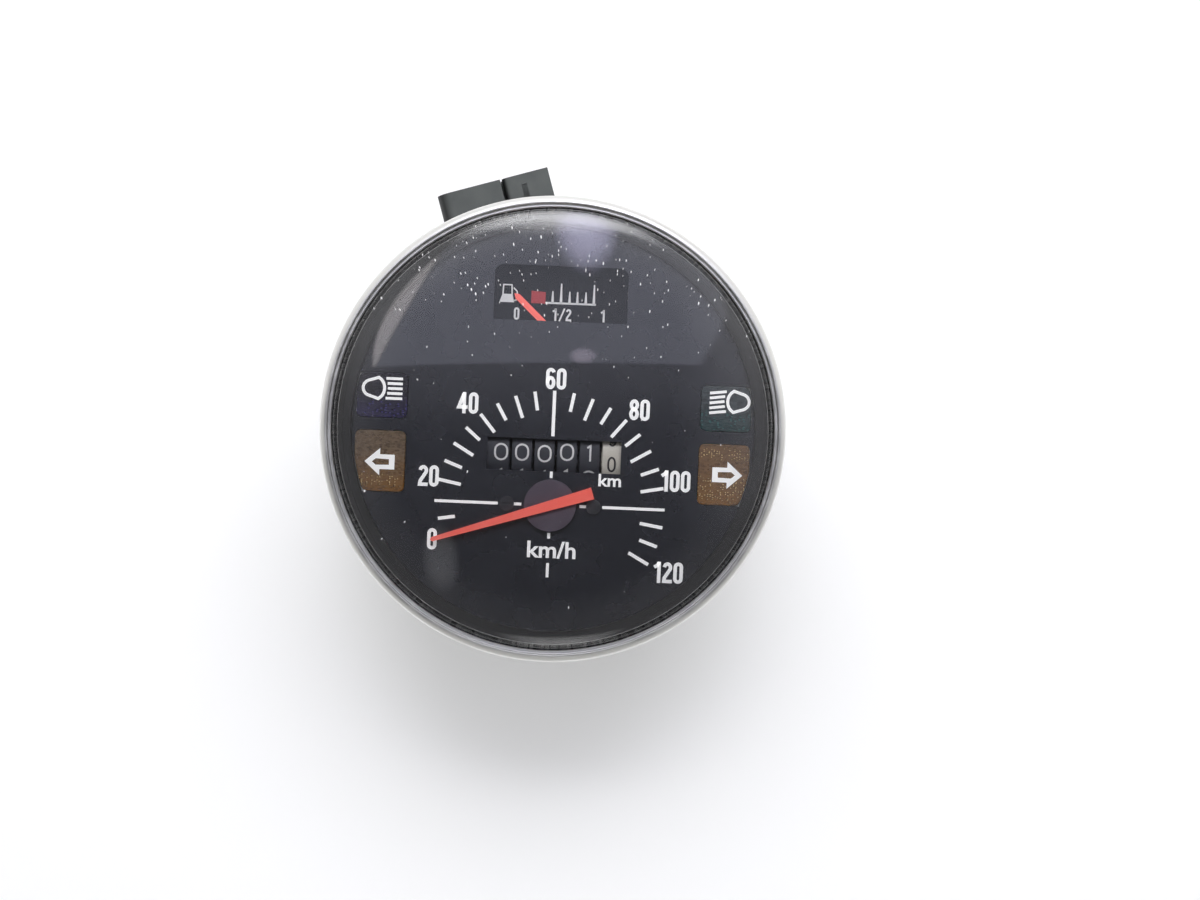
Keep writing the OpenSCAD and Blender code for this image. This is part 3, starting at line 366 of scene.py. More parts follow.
# %% Amber, blue and green
amber = {side: window_plastic("amber_" + side, deep, (0.25, 0.115, 0.026), (0.80, 0.55, 0.23),
                              (2.0, 12.0), bands, 0.55, 0.28)
         for side, deep, bands in [
             ("left", (0.185, 0.125, 0.075), [(4.0, 1.6)]),
             ("right", (0.200, 0.108, 0.048), [(12.6, 1.6), (5.0, 3.6)])]}
finishes["amber_window"] = amber["left"]
for slot, deep, pale, glint_colour in [
    ("blue_window", (0.021, 0.019, 0.030), (0.030, 0.024, 0.080), (0.05, 0.042, 0.16)),
    ("green_window", (0.058, 0.070, 0.077), (0.014, 0.048, 0.051), (0.04, 0.12, 0.12)),
]:
    finishes[slot] = window_plastic(slot, deep, pale, glint_colour, (17.5, 23.5), [(19.5, 3.0)], 0.9, 0.4)
print("window plastics ready")

# %% [markdown]
# ## Circuit board and bulbs
# The board is green lacquered laminate with darker and paler strips where copper runs under
# the lacquer. A brick pattern of thin, long bricks gives those strips. The bulbs are thin
# glass, which a mixture of clear and glossy shaders shows without slow light paths.

# %% Laminate and thin glass
def board_laminate():
    material, tree = empty_material("board_green")
    spot = object_point(tree)
    tracks = add_node(tree, "TexBrick", {
        "Vector": spot, "Scale": 300.0, "Color1": rgba((0.02, 0.13, 0.05)),
        "Color2": rgba((0.03, 0.19, 0.075)), "Mortar": rgba((0.10, 0.30, 0.12)),
        "Mortar Size": 0.03, "Brick Width": 3.5, "Row Height": 0.7})
    laminate = add_node(tree, "BsdfPrincipled", {
        "Base Color": tracks.outputs["Color"], "Roughness": 0.3,
        "Normal": bump(tree, noise(tree, spot, 2500.0, 2.0), 0.01)})
    show(tree, laminate)
    return material


def thin_glass(name, tint, gloss, dust=None):
    material, tree = empty_material(name)
    clear = add_node(tree, "BsdfTransparent", {"Color": rgba(tint)})
    shine = add_node(tree, "BsdfGlossy", {"Color": (1, 1, 1, 1), "Roughness": gloss})
    edge = add_node(tree, "Fresnel", {"IOR": 1.49})
    pane = add_node(tree, "MixShader", {0: edge.outputs[0], 1: clear.outputs[0], 2: shine.outputs[0]})
    if dust:
        share, colour = dust(tree)
        specks = add_node(tree, "BsdfDiffuse", {"Color": rgba(colour)})
        pane = add_node(tree, "MixShader", {0: share, 1: pane.outputs[0], 2: specks.outputs[0]})
    show(tree, pane)
    return material


finishes["board_green"] = board_laminate()
finishes["bulb_glass"] = thin_glass("bulb_glass", (0.96, 0.96, 0.94), 0.05)
print("board and glass ready")

# %% [markdown]
# ## The lens's acrylic and its dust
# The lens is clear acrylic, scuffed and dusty: bright flecks lie thick near the top of the
# dome, in clumps, and thin out over the dial. Both sizes of fleck are the middles of Voronoi
# cells, stretched so that a fleck is a short dash, and only a share of them shows. That share
# follows the height on the dome and a cloud of noise. Towards its rim the acrylic is a little
# hazy, as worn lenses are.

# %% Dusty acrylic
def fleck_layer(tree, spot, cell_mm, size, share, degrees):
    lie = add_node(tree, "Mapping", {"Vector": spot, "Rotation": (0.0, 0.0, math.radians(degrees)),
                                     "Scale": (1.0, 0.38, 1.0)}).outputs[0]
    cells = add_node(tree, "TexVoronoi", {"Vector": lie, "Scale": 1000 / cell_mm},
                     voronoi_dimensions="2D").outputs
    pick = add_node(tree, "SeparateColor", {0: cells["Color"]}).outputs
    middle = maths(tree, "LESS_THAN", cells["Distance"], maths(tree, "MULTIPLY_ADD", pick[1], size, 0.02))
    return times(tree, middle, maths(tree, "LESS_THAN", pick[0], share))


def lens_dust(tree):
    spot = object_point(tree)
    axes = add_node(tree, "SeparateXYZ", {0: spot}).outputs
    height = remap(tree, axes["Y"], 26 * MM, 60 * MM, 0.004, 0.16)
    clump = remap(tree, noise(tree, spot, 90.0, 3.0), 0.38, 0.66, 0.10, 2.0)
    thick = times(tree, height, clump)
    flecks = maths(tree, "MAXIMUM", fleck_layer(tree, spot, 1.0, 0.10, thick, 25),
                   fleck_layer(tree, spot, 0.7, 0.11, times(tree, thick, 0.9), -50))
    away = distance(tree, axes["X"], maths(tree, "SUBTRACT", axes["Y"], BEZEL_Y * MM))
    haze = remap(tree, away, 35 * MM, 46 * MM, 0.0, 0.018)
    return maths(tree, "MAXIMUM", flecks, haze), (0.85, 0.84, 0.84)


finishes["lens_clear"] = thin_glass("lens_clear", (0.995, 0.995, 0.995), 0.006, lens_dust)
print("acrylic ready")

# %% [markdown]
# ## Every solid gets its finish
# The imported record says which material slot each node takes, so one loop dresses all the
# solids. The small fuel dial lies deeper than the dial plate and is printed in a flatter
# black, the ring round the dial is as dull as the seal, and the plugs are greyer than the lamp
# holders and carry painted shade on their sides, so these are dressed apart.

# %% Dress the solids
dressed = 0
for row in frame["record"]["subparts"]:
    for place in solids[row["node"]].material_slots:
        place.material = finishes[row["material_slot"]]
        dressed += 1
for node, finish in [
    ("fuel_dial", fuel_black), ("dial_surround", finishes["seal_rubber"]),
    ("main_connector", finishes["plug_grey"]), ("small_connector", finishes["plug_grey"]),
]:
    solids[node].material_slots[0].material = finish
print("slots dressed", dressed)

# %% [markdown]
# ## Making a piece from points
# Printed marks, rolled edges and threads all end as points and faces. One helper makes the
# mesh, smooths what is round, keeps what is sharp, and sets the piece on its moving body with
# its finish. The others put an object in the scene, join several shapes into one, draw an
# arc, and turn an outline round the bezel's axis.

# %% A piece from points
def in_scene(name, data):
    made = bpy.data.objects.new(name, data)
    bpy.context.scene.collection.objects.link(made)
    return made


def add_piece(name, points, faces, material, body, slot, sharp=35.0):
    mesh = bpy.data.meshes.new(name)
    mesh.from_pydata([[c * MM for c in p] for p in points], [], faces)
    mesh.validate()
    mesh.materials.append(material)
    mesh.shade_smooth()
    mesh.set_sharp_from_angle(angle=math.radians(sharp))
    piece = in_scene(name, mesh)
    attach(piece, body)
    return piece


def joined(shapes):
    """Several pairs of points and faces as one pair."""
    points, faces = [], []
    for spots, sides in shapes:
        base = len(points)
        points += spots
        faces += [tuple(base + k for k in side) for side in sides]
    return points, faces


def arc(cx, cy, rx, ry, start, end, steps=8):
    angles = [math.radians(start + (end - start) * i / steps) for i in range(steps + 1)]
    return [(cx + rx * math.cos(a), cy + ry * math.sin(a)) for a in angles]


print("piece helpers ready")

# %% Turned pieces
def ring_faces(n, steps):
    """Quads between outlines of n points that stand steps times round an axis."""
    return [(i * n + k, ((i + 1) % steps) * n + k,
             ((i + 1) % steps) * n + (k + 1) % n, i * n + (k + 1) % n)
            for i in range(steps) for k in range(n)]


def revolve(profile, steps):
    """Closed outline of (radius, height), counter-clockwise, turned round the bezel's axis."""
    turns = [math.tau * i / steps for i in range(steps)]
    points = [(r * math.cos(a), BEZEL_Y + r * math.sin(a), z) for a in turns for r, z in profile]
    return points, ring_faces(len(profile), steps)


print("turning ready")

# %% [markdown]
# ## The rolled bezel
# The bezel is sheet metal rolled over a flange: a round outer edge, a small step, then a
# narrow lip that presses on the lens and slopes a little outwards. The solid has its size but
# a plain rounding, so a finer section with the real roll and step is turned round the axis
# and stands for it.

# %% Turn the bezel
def bezel_section():
    back, front = low_mm("bezel_ring")[2], high_mm("bezel_ring")[2]
    roll, roll_stretch, sheet, corner = 1.25, 0.3, 0.8, 0.6
    flange_inner, lip_inner, lip_round, lip_depth = 46.25, 47.4, 0.3, 0.63
    step_and_lip = [(48.38, 0.03), (48.30, 0.16), (48.25, 0.40), (48.15, 0.47), (47.75, 0.37)]
    return (
        [(flange_inner, back), (bezel_r - 1.5 * corner, back)]
        + arc(bezel_r - corner, back + corner, corner, corner, -90, 0, 4)
        + arc(bezel_r - roll - roll_stretch, front - roll, roll + roll_stretch, roll, 0, 90, 12)
        + [(r, front - down) for r, down in step_and_lip]
        + arc(lip_inner + lip_round, front - lip_depth, lip_round, 0.26, 90, 180, 4)
        + [(lip_inner, front - sheet), (bezel_r - sheet, front - sheet),
           (bezel_r - sheet, back + sheet), (flange_inner, back + sheet)]
    )


bezel = add_piece("rolled_bezel", *revolve(bezel_section(), steps=256), finishes["bezel_metal"],
                  "case", "bezel_metal", 50)
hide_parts("bezel_ring")
print("bezel", len(bezel.data.polygons), "faces")

# %% [markdown]
# ## The domed lens
# The lens is injection moulded: a low spherical dome, a tight shoulder and an upright rim
# that stands on a flange under the bezel. Reflections show every facet, so its section is
# drawn with many points and turned in fine steps. Both faces of the dome share one centre.
# Under it the flat rubber seal is turned too, wide enough to meet the ring round the dial.

# %% Turn the lens
def lens_section():
    flange_low, top = low_mm("lens")[2], high_mm("lens")[2]
    flange_r, flange_high, side_height = 48.95, flange_low + 2.6, 2.6
    edge, wall, corner = 47.05, 2.0, 0.6
    inner_edge, inner_corner, bend_start, steps = edge - 0.7, 0.35, 0.4, 24
    rise = top - flange_high - side_height
    dome = (edge * edge + rise * rise) / (2 * rise)

    def drop(r, radius):
        return radius - math.sqrt(radius * radius - r * r)

    shoulder = edge - corner
    outer = [(r, top - drop(r, dome)) for r in (shoulder * (1 - i / steps) for i in range(steps + 1))]
    low = flange_high + bend_start
    bend = arc(shoulder, low, corner, outer[0][1] - low, 0, 90, 12)[:-1]
    inner_shoulder = inner_edge - inner_corner
    inside = [(r, top - wall - drop(r, dome - wall))
              for r in (inner_shoulder * i / steps for i in range(steps + 1))]
    inner_low = flange_high - bend_start
    inner_bend = arc(inner_shoulder, inner_low, inner_corner, inside[-1][1] - inner_low, 90, 0, 8)[1:]
    return ([(flange_r, flange_low), (flange_r, flange_high), (edge, flange_high)]
            + bend + outer + inside + inner_bend + [(inner_edge, flange_low)])


lens = add_piece("domed_lens", *revolve(lens_section(), steps=256), finishes["lens_clear"],
                 "case", "lens_clear", 40)
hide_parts("lens")
SEAL_IN, SEAL_OUT = 45.32, 48.9
seal_low, seal_high = low_mm("lens_seal")[2], high_mm("lens_seal")[2]
seal_section = [(SEAL_IN, seal_low), (SEAL_OUT, seal_low), (SEAL_OUT, seal_high), (SEAL_IN, seal_high)]
seal = add_piece("flat_seal", *revolve(seal_section, steps=192), finishes["seal_rubber"], "case",
                 "seal_rubber")
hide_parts("lens_seal")
print("lens", len(lens.data.polygons), "faces")

# %% [markdown]
# ## The tell-tale windows
# The windows are moulded blocks that stand a little proud of the dial. Their corners are
# round, and their outer edge follows the dial's rim. A rounded outline is extruded, and a
# bevel softens the top edge, where such a moulding catches a thin line of light.

# %% Round corners and blocks
def round_corners(points, corners, r, steps=5):
    out = []
    for i, spot in enumerate(points):
        if i not in corners:
            out.append(spot)
            continue
        here = Vector(spot)
        before = here + (Vector(points[i - 1]) - here).normalized() * r
        after = here + (Vector(points[(i + 1) % len(points)]) - here).normalized() * r
        for k in range(steps + 1):
            t = k / steps
            out.append(tuple(before * (1 - t) ** 2 + here * 2 * t * (1 - t) + after * t * t))
    return out


def block(outline, low, high):
    n = len(outline)
    points = [(x, y, low) for x, y in outline] + [(x, y, high) for x, y in outline]
    faces = [tuple(range(n))[::-1], tuple(range(n, 2 * n))]
    faces += [(i, (i + 1) % n, n + (i + 1) % n, n + i) for i in range(n)]
    return points, faces


def window_outline(node, trim=43.35, corner=1.4, steps=12):
    """Outline in (x, y), drawn as for the right side, cut by a circle round the bezel's axis."""
    low, high = low_mm(node), high_mm(node)
    inner, outer = sorted((abs(low[0]), abs(high[0])))
    low_y, high_y = low[1], high[1]

    def edge(y):
        return min(outer, math.sqrt(trim * trim - (y - BEZEL_Y) ** 2)), y

    start, end = low_y + corner, high_y - corner
    rim = [edge(start + (end - start) * i / steps) for i in range(steps + 1)]
    points = [(inner, low_y), edge(low_y)] + rim + [edge(high_y), (inner, high_y)]
    return round_corners(points, {0, 1, len(points) - 2, len(points) - 1}, corner)


def soften(piece, width_mm):
    soft = piece.modifiers.new("soft_edge", "BEVEL")
    soft.width, soft.segments, soft.limit_method = width_mm * MM, 3, "ANGLE"
    return soft


print("outline helpers ready")

# %% Mould the four windows
WINDOW_EDGE = 0.18
for node, side, slot, material in [
    ("left_turn_window", -1, "amber_window", amber["left"]),
    ("right_turn_window", 1, "amber_window", amber["right"]),
    ("high_beam_window", -1, "blue_window", finishes["blue_window"]),
    ("low_beam_window", 1, "green_window", finishes["green_window"]),
]:
    outline = [(side * x, y) for x, y in window_outline(node)]
    if side < 0:
        outline.reverse()
    pane = add_piece("pane_" + node, *block(outline, low_mm(node)[2], window_face), material,
                     "case", slot)
    soften(pane, WINDOW_EDGE)
    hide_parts(node)
print("windows at", round(window_face, 2))

# %% [markdown]
# ## Printed strokes
# A printed line, arrow or figure is a stroke of even width along a path. A helper offsets
# the path to both sides, with its joints mitred, and gives a strip of quads. The strip can lie
# flat on the dial or be wrapped round a drum, so its points are returned before they are
# placed. Long paths are cut into short steps first, so that a wrapped strip stays round.
# Print lies a few hundredths of a millimetre above its surface, so that it is seen whole.

# %% Strokes of even width
def cut_path(path, closed, step):
    out = []
    for a, b in zip(path, path[1:] + ([path[0]] if closed else [])):
        count = max(1, math.ceil(math.dist(a, b) / step))
        out += [(a[0] + (b[0] - a[0]) * k / count, a[1] + (b[1] - a[1]) * k / count)
                for k in range(count)]
    return out if closed else out + [path[-1]]


def stroke(path, width, closed=False, step=None):
    if step:
        path = cut_path(path, closed, step)
    n = len(path)
    points = []
    for i in range(n):
        here = Vector(path[i])
        before = here - Vector(path[i - 1]) if i or closed else None
        after = Vector(path[(i + 1) % n]) - here if i < n - 1 or closed else None
        first = (before or after).normalized()
        second = (after or before).normalized()
        normal = Vector((-first.y - second.y, first.x + second.x))
        normal.normalize()
        reach = width / 2 / max(0.5, normal.dot(Vector((-first.y, first.x))))
        points += [tuple(here + normal * reach), tuple(here - normal * reach)]
    faces = [(2 * i, 2 * i + 1, 2 * ((i + 1) % n) + 1, 2 * ((i + 1) % n))
             for i in range(n if closed else n - 1)]
    return points, faces


def moved(shape, dx, dy, mirror=1):
    return [(mirror * x + dx, y + dy) for x, y in shape[0]], shape[1]


print("strokes ready")

# %% Print on a flat face
ON_DIAL, ON_WINDOW, ON_FUEL_DIAL = dial_face + 0.03, window_face + 0.02, fuel_face + 0.02


def ink_piece(name, shapes, level, ink, slot):
    points, faces = joined(shapes)
    piece = add_piece(name, [(x, y, level) for x, y in points], faces, ink, "case", slot)
    print(name, len(piece.data.polygons))


print("print levels", round(ON_DIAL, 2), round(ON_WINDOW, 2), round(ON_FUEL_DIAL, 2))

# %% [markdown]
# ## The speed scale
# The scale runs clockwise round the needle: 60 stands straight up and each 5 km/h is 9.9
# degrees. A line at a full ten starts further in than the one between, the line at 60 is
# long, and the first one, at 10, is short at both ends. There is none below it, at 15 or at
# 105, because the numbers stand there. A cross line runs out from the hub on both sides.
# Working every tick out from its speed keeps them even.

# %% Ticks and cross lines
SCALE_OUT, FIRST_OUT = 24.8, 24.4
TEN_IN, FIVE_IN, SIXTY_IN = 19.8, 20.7, 14.95
TICK, CROSS = 0.72, 0.62


def speed_angle(speed):
    return math.radians(90.0 - (speed - 60.0) * 9.9 / 5.0)


def tick(speed):
    first = speed == 10
    inner = SIXTY_IN if speed == 60 else FIVE_IN if first or speed % 10 else TEN_IN
    outer = FIRST_OUT if first else SCALE_OUT
    c, s = math.cos(speed_angle(speed)), math.sin(speed_angle(speed))
    return stroke([(inner * c, inner * s), (outer * c, outer * s)], TICK)


ticks = [tick(speed) for speed in range(10, 125, 5) if speed not in (15, 105)]
ticks += [stroke(path, CROSS) for path in [
    [(-SCALE_OUT - 0.2, 0), (-11.3, 0)], [(-8.7, 0), (-6.2, 0)],
    [(6.4, 0), (8.7, 0)], [(11.3, 0), (SCALE_OUT, 0)],
    [(0, 5.9), (0, 7.3)], [(0, -7.2), (0, -6.0)], [(0, -15.6), (0, -12.5)],
]]
ink_piece("speed_scale", ticks, ON_DIAL, white_ink, "dial_black")

# %% [markdown]
# ## Numbers round the dial
# The numbers are a bold, narrow grotesque, 4.6 mm high. Each digit is one or two thick strokes
# with butt ends: a bowl is a tall oval path, a stem a straight one. Paths are written for a
# digit one unit high and stretched before the stroke is laid, so the weight stays even. A and
# B are half the width and half the height of a bowl's middle line.

# %% Bold narrow digits
A, B = 0.145, 0.420
BOLD_DIGITS = {
    "0": (0.51, [(arc(0, B - A, A, A, 0, 180) + arc(0, A - B, A, A, 180, 360), True)]),
    "1": (0.40, [([(0.06, -0.5), (0.06, 0.5)], False),
                 ([(-0.17, 0.24), (-0.02, 0.33), (0.06, 0.46)], False)]),
    "2": (0.51, [(arc(0, 0.24, A, 0.17, 175, -25)
                  + [(-0.13, -0.25), (-0.15, -0.41), (0.23, -0.41)], False)]),
    "4": (0.51, [([(0.07, -0.5), (0.07, 0.5)], False),
                 ([(0.05, 0.43), (-0.18, -0.20), (0.24, -0.20)], False)]),
    "6": (0.51, [(arc(0, -0.19, A, 0.23, 0, 360, 14)[:-1], True),
                 (arc(0, 0.27, A, 0.15, 10, 180) + [(-A, -0.19)], False)]),
    "8": (0.51, [(arc(0, 0.225, 0.14, 0.185, 0, 360, 14)[:-1], True),
                 (arc(0, -0.20, A, 0.21, 0, 360, 14)[:-1], True)]),
}


def digits(text, height, weight, x, y):
    pen, shapes = x - sum(BOLD_DIGITS[c][0] for c in text) * height / 2, []
    for c in text:
        advance, paths = BOLD_DIGITS[c]
        pen += advance * height / 2
        shapes += [stroke([(pen + px * height, y + py * height) for px, py in path], weight, closed)
                   for path, closed in paths]
        pen += advance * height / 2
    return shapes


print("digits", sorted(BOLD_DIGITS))

# %% [markdown]
# ## Units
# The units are set with Blender's built-in letter outlines, thickened, turned into a mesh and
# squeezed to the height and width of the dial's print, so no font file is needed.

# %% Text as flat faces
def letters(text, height, width, x, y):
    curve = bpy.data.curves.new("letters", "FONT")
    curve.body, curve.offset, curve.resolution_u = text, 0.02, 5
    writer = in_scene("letters", curve)
    bpy.context.view_layer.update()
    written = writer.evaluated_get(bpy.context.evaluated_depsgraph_get())
    mesh = bpy.data.meshes.new_from_object(written)
    flat = [(v.co.x, v.co.y) for v in mesh.vertices]
    faces = [tuple(p.vertices) for p in mesh.polygons]
    bpy.data.objects.remove(writer)
    bpy.data.meshes.remove(mesh)
    xs, ys = [p[0] for p in flat], [p[1] for p in flat]
    wide, tall = max(xs) - min(xs), max(ys) - min(ys)
    mid_x, mid_y = (max(xs) + min(xs)) / 2, (max(ys) + min(ys)) / 2
    fitted = [((px - mid_x) / wide * width, (py - mid_y) / tall * height) for px, py in flat]
    return moved((fitted, faces), x, y)


print("letters ready")

# %% Print the numbers and units
NUMBER_HEIGHT, NUMBER_WEIGHT = 4.6, 0.75
NUMBERS = [("0", -25.2, -8.3), ("20", -26.5, 5.3), ("40", -18.6, 21.4), ("60", 0.2, 27.4),
           ("80", 18.5, 21.4), ("100", 27.0, 6.3), ("120", 26.2, -13.5)]
print_marks = [shape for text, x, y in NUMBERS
               for shape in digits(text, NUMBER_HEIGHT, NUMBER_WEIGHT, x, y)]
print_marks.append(letters("km", height=2.7, width=4.9, x=12.7, y=BEZEL_Y - 10.6))
print_marks.append(letters("km/h", height=3.7, width=10.5, x=0.7, y=BEZEL_Y - 26.1))
ink_piece("dial_numbers", print_marks, ON_DIAL, white_ink, "dial_black")

# %% [markdown]
# ## Symbols on the tell-tale windows
# Arrows for the turn signals and headlamps for the beams are the usual generic signs. They
# are printed on the windows' faces: an arrow is a thick outline round a small slot, a headlamp
# is a round-backed D with five bars, level for high beam and sloping for low beam.

# %% Arrows and headlamps
def arrow_shape():
    """Arrow to the left: a band between its outline and a small slot, corner by corner."""
    outline = [(-3.25, 0), (0.05, 2.95), (0.05, 1.6), (3.25, 1.6),
               (3.25, -1.6), (0.05, -1.6), (0.05, -2.95)]
    slot = [(-1.65, 0), (-0.85, 0.68), (-0.4, 0.68), (2.05, 0.6),
            (2.05, -0.6), (-0.4, -0.68), (-0.85, -0.68)]
    n = len(outline)
    return outline + slot, [(i, (i + 1) % n, n + (i + 1) % n, n + i) for i in range(n)]


def headlamp_strokes(slope):
    shell_width, bar_width, top_bar, bar_gap, bar_end = 0.64, 0.58, 2.14, 1.07, 4.45
    shell = ([(-0.75, 2.3)] + arc(-2.2, 0, 1.9, 1.75, 100, 260, 14) + [(-0.75, -2.3)]
             + arc(-1.45, 0, 2.0, 2.4, -62, 62, 10))
    shapes = [stroke(shell, shell_width, closed=True)]
    for row, start in enumerate((0.85, 1.15, 1.25, 1.15, 0.85)):
        level = top_bar - bar_gap * row
        shapes.append(stroke([(start, level), (bar_end, level - slope)], bar_width))
    return shapes


for name, shapes, mirror, x, y, slot in [
    ("left_arrow", [arrow_shape()], 1, -37.2, -8.6, "amber_window"),
    ("right_arrow", [arrow_shape()], -1, 38.0, -8.4, "amber_window"),
    ("high_beam_sign", headlamp_strokes(0.0), 1, -37.3, 7.3, "blue_window"),
    ("low_beam_sign", headlamp_strokes(0.45), -1, 38.0, 7.5, "green_window"),
]:
    sign = [moved(shape, x, BEZEL_Y + y, mirror) for shape in shapes]
    ink_piece(name, sign, ON_WINDOW, white_ink, slot)

# %% [markdown]
# ## The odometer's figures
# Each drum carries ten figures, 36 degrees apart, in a thin rounded hand. They are drawn as
# strokes between 3 and 4 mm high, cut into short steps and wrapped on the drum, so they roll
# with it. When a drum turns, its next figure comes up from below, so figures follow each
# other towards the bottom of the dial. Most drums stand a degree or two off, as real ones do,
# and the tenths drum stands between two figures. W and H are half the width and half the
# height of a figure's middle line.

# %% Ten thin figures
W, H = 1.32, 1.70
OVAL = arc(0, H - W, W, W, 0, 180) + arc(0, W - H, W, W, 180, 360)
FIGURES = {
    0: [(OVAL, True)],
    1: [([(-0.55, 1.2), (0.15, H), (0.15, -H)], False)],
    2: [(arc(0, H - W, W, W, 165, -35) + [(-W, -H), (W, -H)], False)],
    3: [(arc(0, 0.84, 1.1, 0.86, 150, -80) + arc(0, -0.83, W, 0.87, 78, -150), False)],
    4: [([(0.65, -H), (0.65, H), (-W, -0.75), (W, -0.75)], False)],
    5: [([(1.05, H), (-0.95, H), (-1.05, 0.25)] + arc(0, W - H, W, W, 140, -145), False)],
    6: [(arc(0, H - W, W, W, 35, 180) + arc(0, W - H, W, W, 180, 540, 16), False)],
    7: [([(-W, H), (W, H), (-0.25, -H)], False)],
    8: [(arc(0, 0.86, 1.05, 0.84, 0, 360, 14), True), (arc(0, -0.84, W, 0.86, 0, 360, 14), True)],
    9: [([(-x, -y) for x, y in arc(0, H - W, W, W, 35, 180) + arc(0, W - H, W, W, 180, 540, 16)], False)],
}
print("figures", len(FIGURES))

# %% Wrap the figures on a drum
FIGURE_WEIGHT, SHORT_STEP, FIGURE_TURN, DRUM_INK_HEIGHT = 0.42, 0.5, 36.0, 0.02


def drum_figures(node, middle_x, shown, slip_degrees, ink, size):
    """Figures round one drum; slip_degrees is how far the shown one stands below the top."""
    low, high = low_mm(node), high_mm(node)
    axis_y, axis_z, radius = (low[1] + high[1]) / 2, (low[2] + high[2]) / 2, (high[2] - low[2]) / 2
    ink_r = radius + DRUM_INK_HEIGHT
    shapes = []
    for figure, paths in FIGURES.items():
        ahead = math.radians(FIGURE_TURN * (figure - shown) + slip_degrees)
        for path, closed in paths:
            path = [(x * size[0], y * size[1]) for x, y in path]
            flat, faces = stroke(path, FIGURE_WEIGHT, closed, SHORT_STEP)
            turns = [(x, ahead - y / radius) for x, y in flat]
            shapes.append(([(middle_x + x, axis_y - math.sin(turn) * ink_r,
                             axis_z + math.cos(turn) * ink_r) for x, turn in turns], faces))
    place = node.removeprefix("drum_")
    return add_piece("figures_" + place, *joined(shapes), ink, place, "drum_black")


print("figure turn", FIGURE_TURN, "degrees")

# %% Print the six drums
FULL, SLIM = (1.0, 1.0), (0.55, 0.90)
for node, middle_x, shown, slip_degrees, ink, size in [
    ("drum_ten_thousands", -11.1, 0, 2.2, drum_ink, FULL),
    ("drum_thousands", -6.55, 0, 1.8, drum_ink, FULL),
    ("drum_hundreds", -1.65, 0, 2.6, drum_ink, FULL),
    ("drum_tens", 3.2, 0, -0.6, drum_ink, FULL),
    ("drum_units", 8.1, 1, 0.0, drum_ink, FULL),
    ("drum_tenths", 12.95, 0, 14.0, dark_ink, SLIM),
]:
    drum = drum_figures(node, middle_x, shown, slip_degrees, ink, size)
    print(drum.name, len(drum.data.polygons))

# %% [markdown]
# ## The fuel scale
# Behind the upper window is a small printed scale: a red patch for reserve, six marks on a
# base line, a pump sign and the figures 0, 1/2 and 1, of which the window hides the feet.
# Marks that are wider at their base are four-cornered shapes, not strokes.

# %% Fuel marks and figures
BASE_Y, LABEL_Y = BEZEL_Y + 27.4, BEZEL_Y + 24.8
FUEL_FIGURE, FUEL_WEIGHT, SLASH_WEIGHT = 2.7, 0.42, 0.36
FOOT, TIP, LOW_MARK, HIGH_MARK = 0.30, 0.14, 2.6, 4.3


def polygon(points):
    return points, [tuple(range(len(points)))]


fuel_marks = [stroke([(-2.9, BASE_Y), (8.1, BASE_Y)], FUEL_WEIGHT)]
for x, tall in [(-1.36, LOW_MARK), (0.48, HIGH_MARK), (2.33, LOW_MARK),
                (4.03, LOW_MARK), (5.87, LOW_MARK), (7.63, HIGH_MARK)]:
    fuel_marks.append(polygon([(x - FOOT, BASE_Y), (x + FOOT, BASE_Y),
                               (x + TIP, BASE_Y + tall), (x - TIP, BASE_Y + tall)]))
for text, x, lift in [("0", -9.05, 0.0), ("1", -0.75, 0.1), ("2", 2.25, 0.1), ("1", 9.74, 0.2)]:
    fuel_marks += digits(text, FUEL_FIGURE, FUEL_WEIGHT, x, LABEL_Y + lift)
fuel_marks.append(stroke([(0.25, LABEL_Y - 1.3), (1.35, LABEL_Y + 1.5)], SLASH_WEIGHT))
print("fuel marks", len(fuel_marks))

# %% Pump sign and reserve patch
PUMP_X, PUMP_Y, PUMP_WEIGHT, HOSE_WEIGHT = -11.2, BEZEL_Y + 29.2, 0.30, 0.28
body = stroke([(-1.0, -0.2), (-0.9, 1.8), (0.9, 1.8), (1.0, -0.2)], PUMP_WEIGHT)
foot = polygon([(-1.7, -2.0), (1.5, -2.0), (1.1, -0.2), (-1.1, -0.2)])
hose = stroke([(1.3, 1.2), (2.1, 0.4), (2.1, -1.4), (1.5, -1.6)], HOSE_WEIGHT)
fuel_marks += [moved(shape, PUMP_X, PUMP_Y) for shape in (foot, body, hose)]
ink_piece("fuel_scale", fuel_marks, ON_FUEL_DIAL, drum_ink, "dial_black")
patch = polygon([(-6.0, BASE_Y - 0.2), (-2.9, BASE_Y - 0.2), (-2.9, BASE_Y + 2.3), (-6.0, BASE_Y + 2.5)])
ink_piece("fuel_reserve_patch", [patch], ON_FUEL_DIAL, fuel_red_ink, "dial_black")

# %% [markdown]
# ## Soft edges on moulded and cut pieces
# No moulding has a knife edge, and a thin bright line along an edge says more about its
# scale than its colour does. A bevel modifier rounds the solids' edges for the eye and
# leaves their meshes as they are.

# %% Bevel the visible solids
for node, width in [("needle", 0.28), ("needle_hub", 0.25), ("fuel_needle", 0.12), ("dial_screws", 0.15),
                    ("main_connector", 0.45), ("small_connector", 0.35), ("bulb_holders", 0.3),
                    ("frame_screws", 0.3), ("fuel_dial", 0.05), ("connector_pins", 0.12)]:
    soften(solids[node], width).angle_limit = math.radians(40)
print("bevelled")

# %% [markdown]
# ## Screw threads
# The cable's nut screws on the nipple, an M12 thread of 1 mm pitch, and the studs are M5 with
# 0.8 mm pitch. A thread is a tube whose radius rises and falls with height, shifted by one
# pitch for each turn. It is built as a grid of points, rows up and columns round, and the
# plain outline above and below closes it.

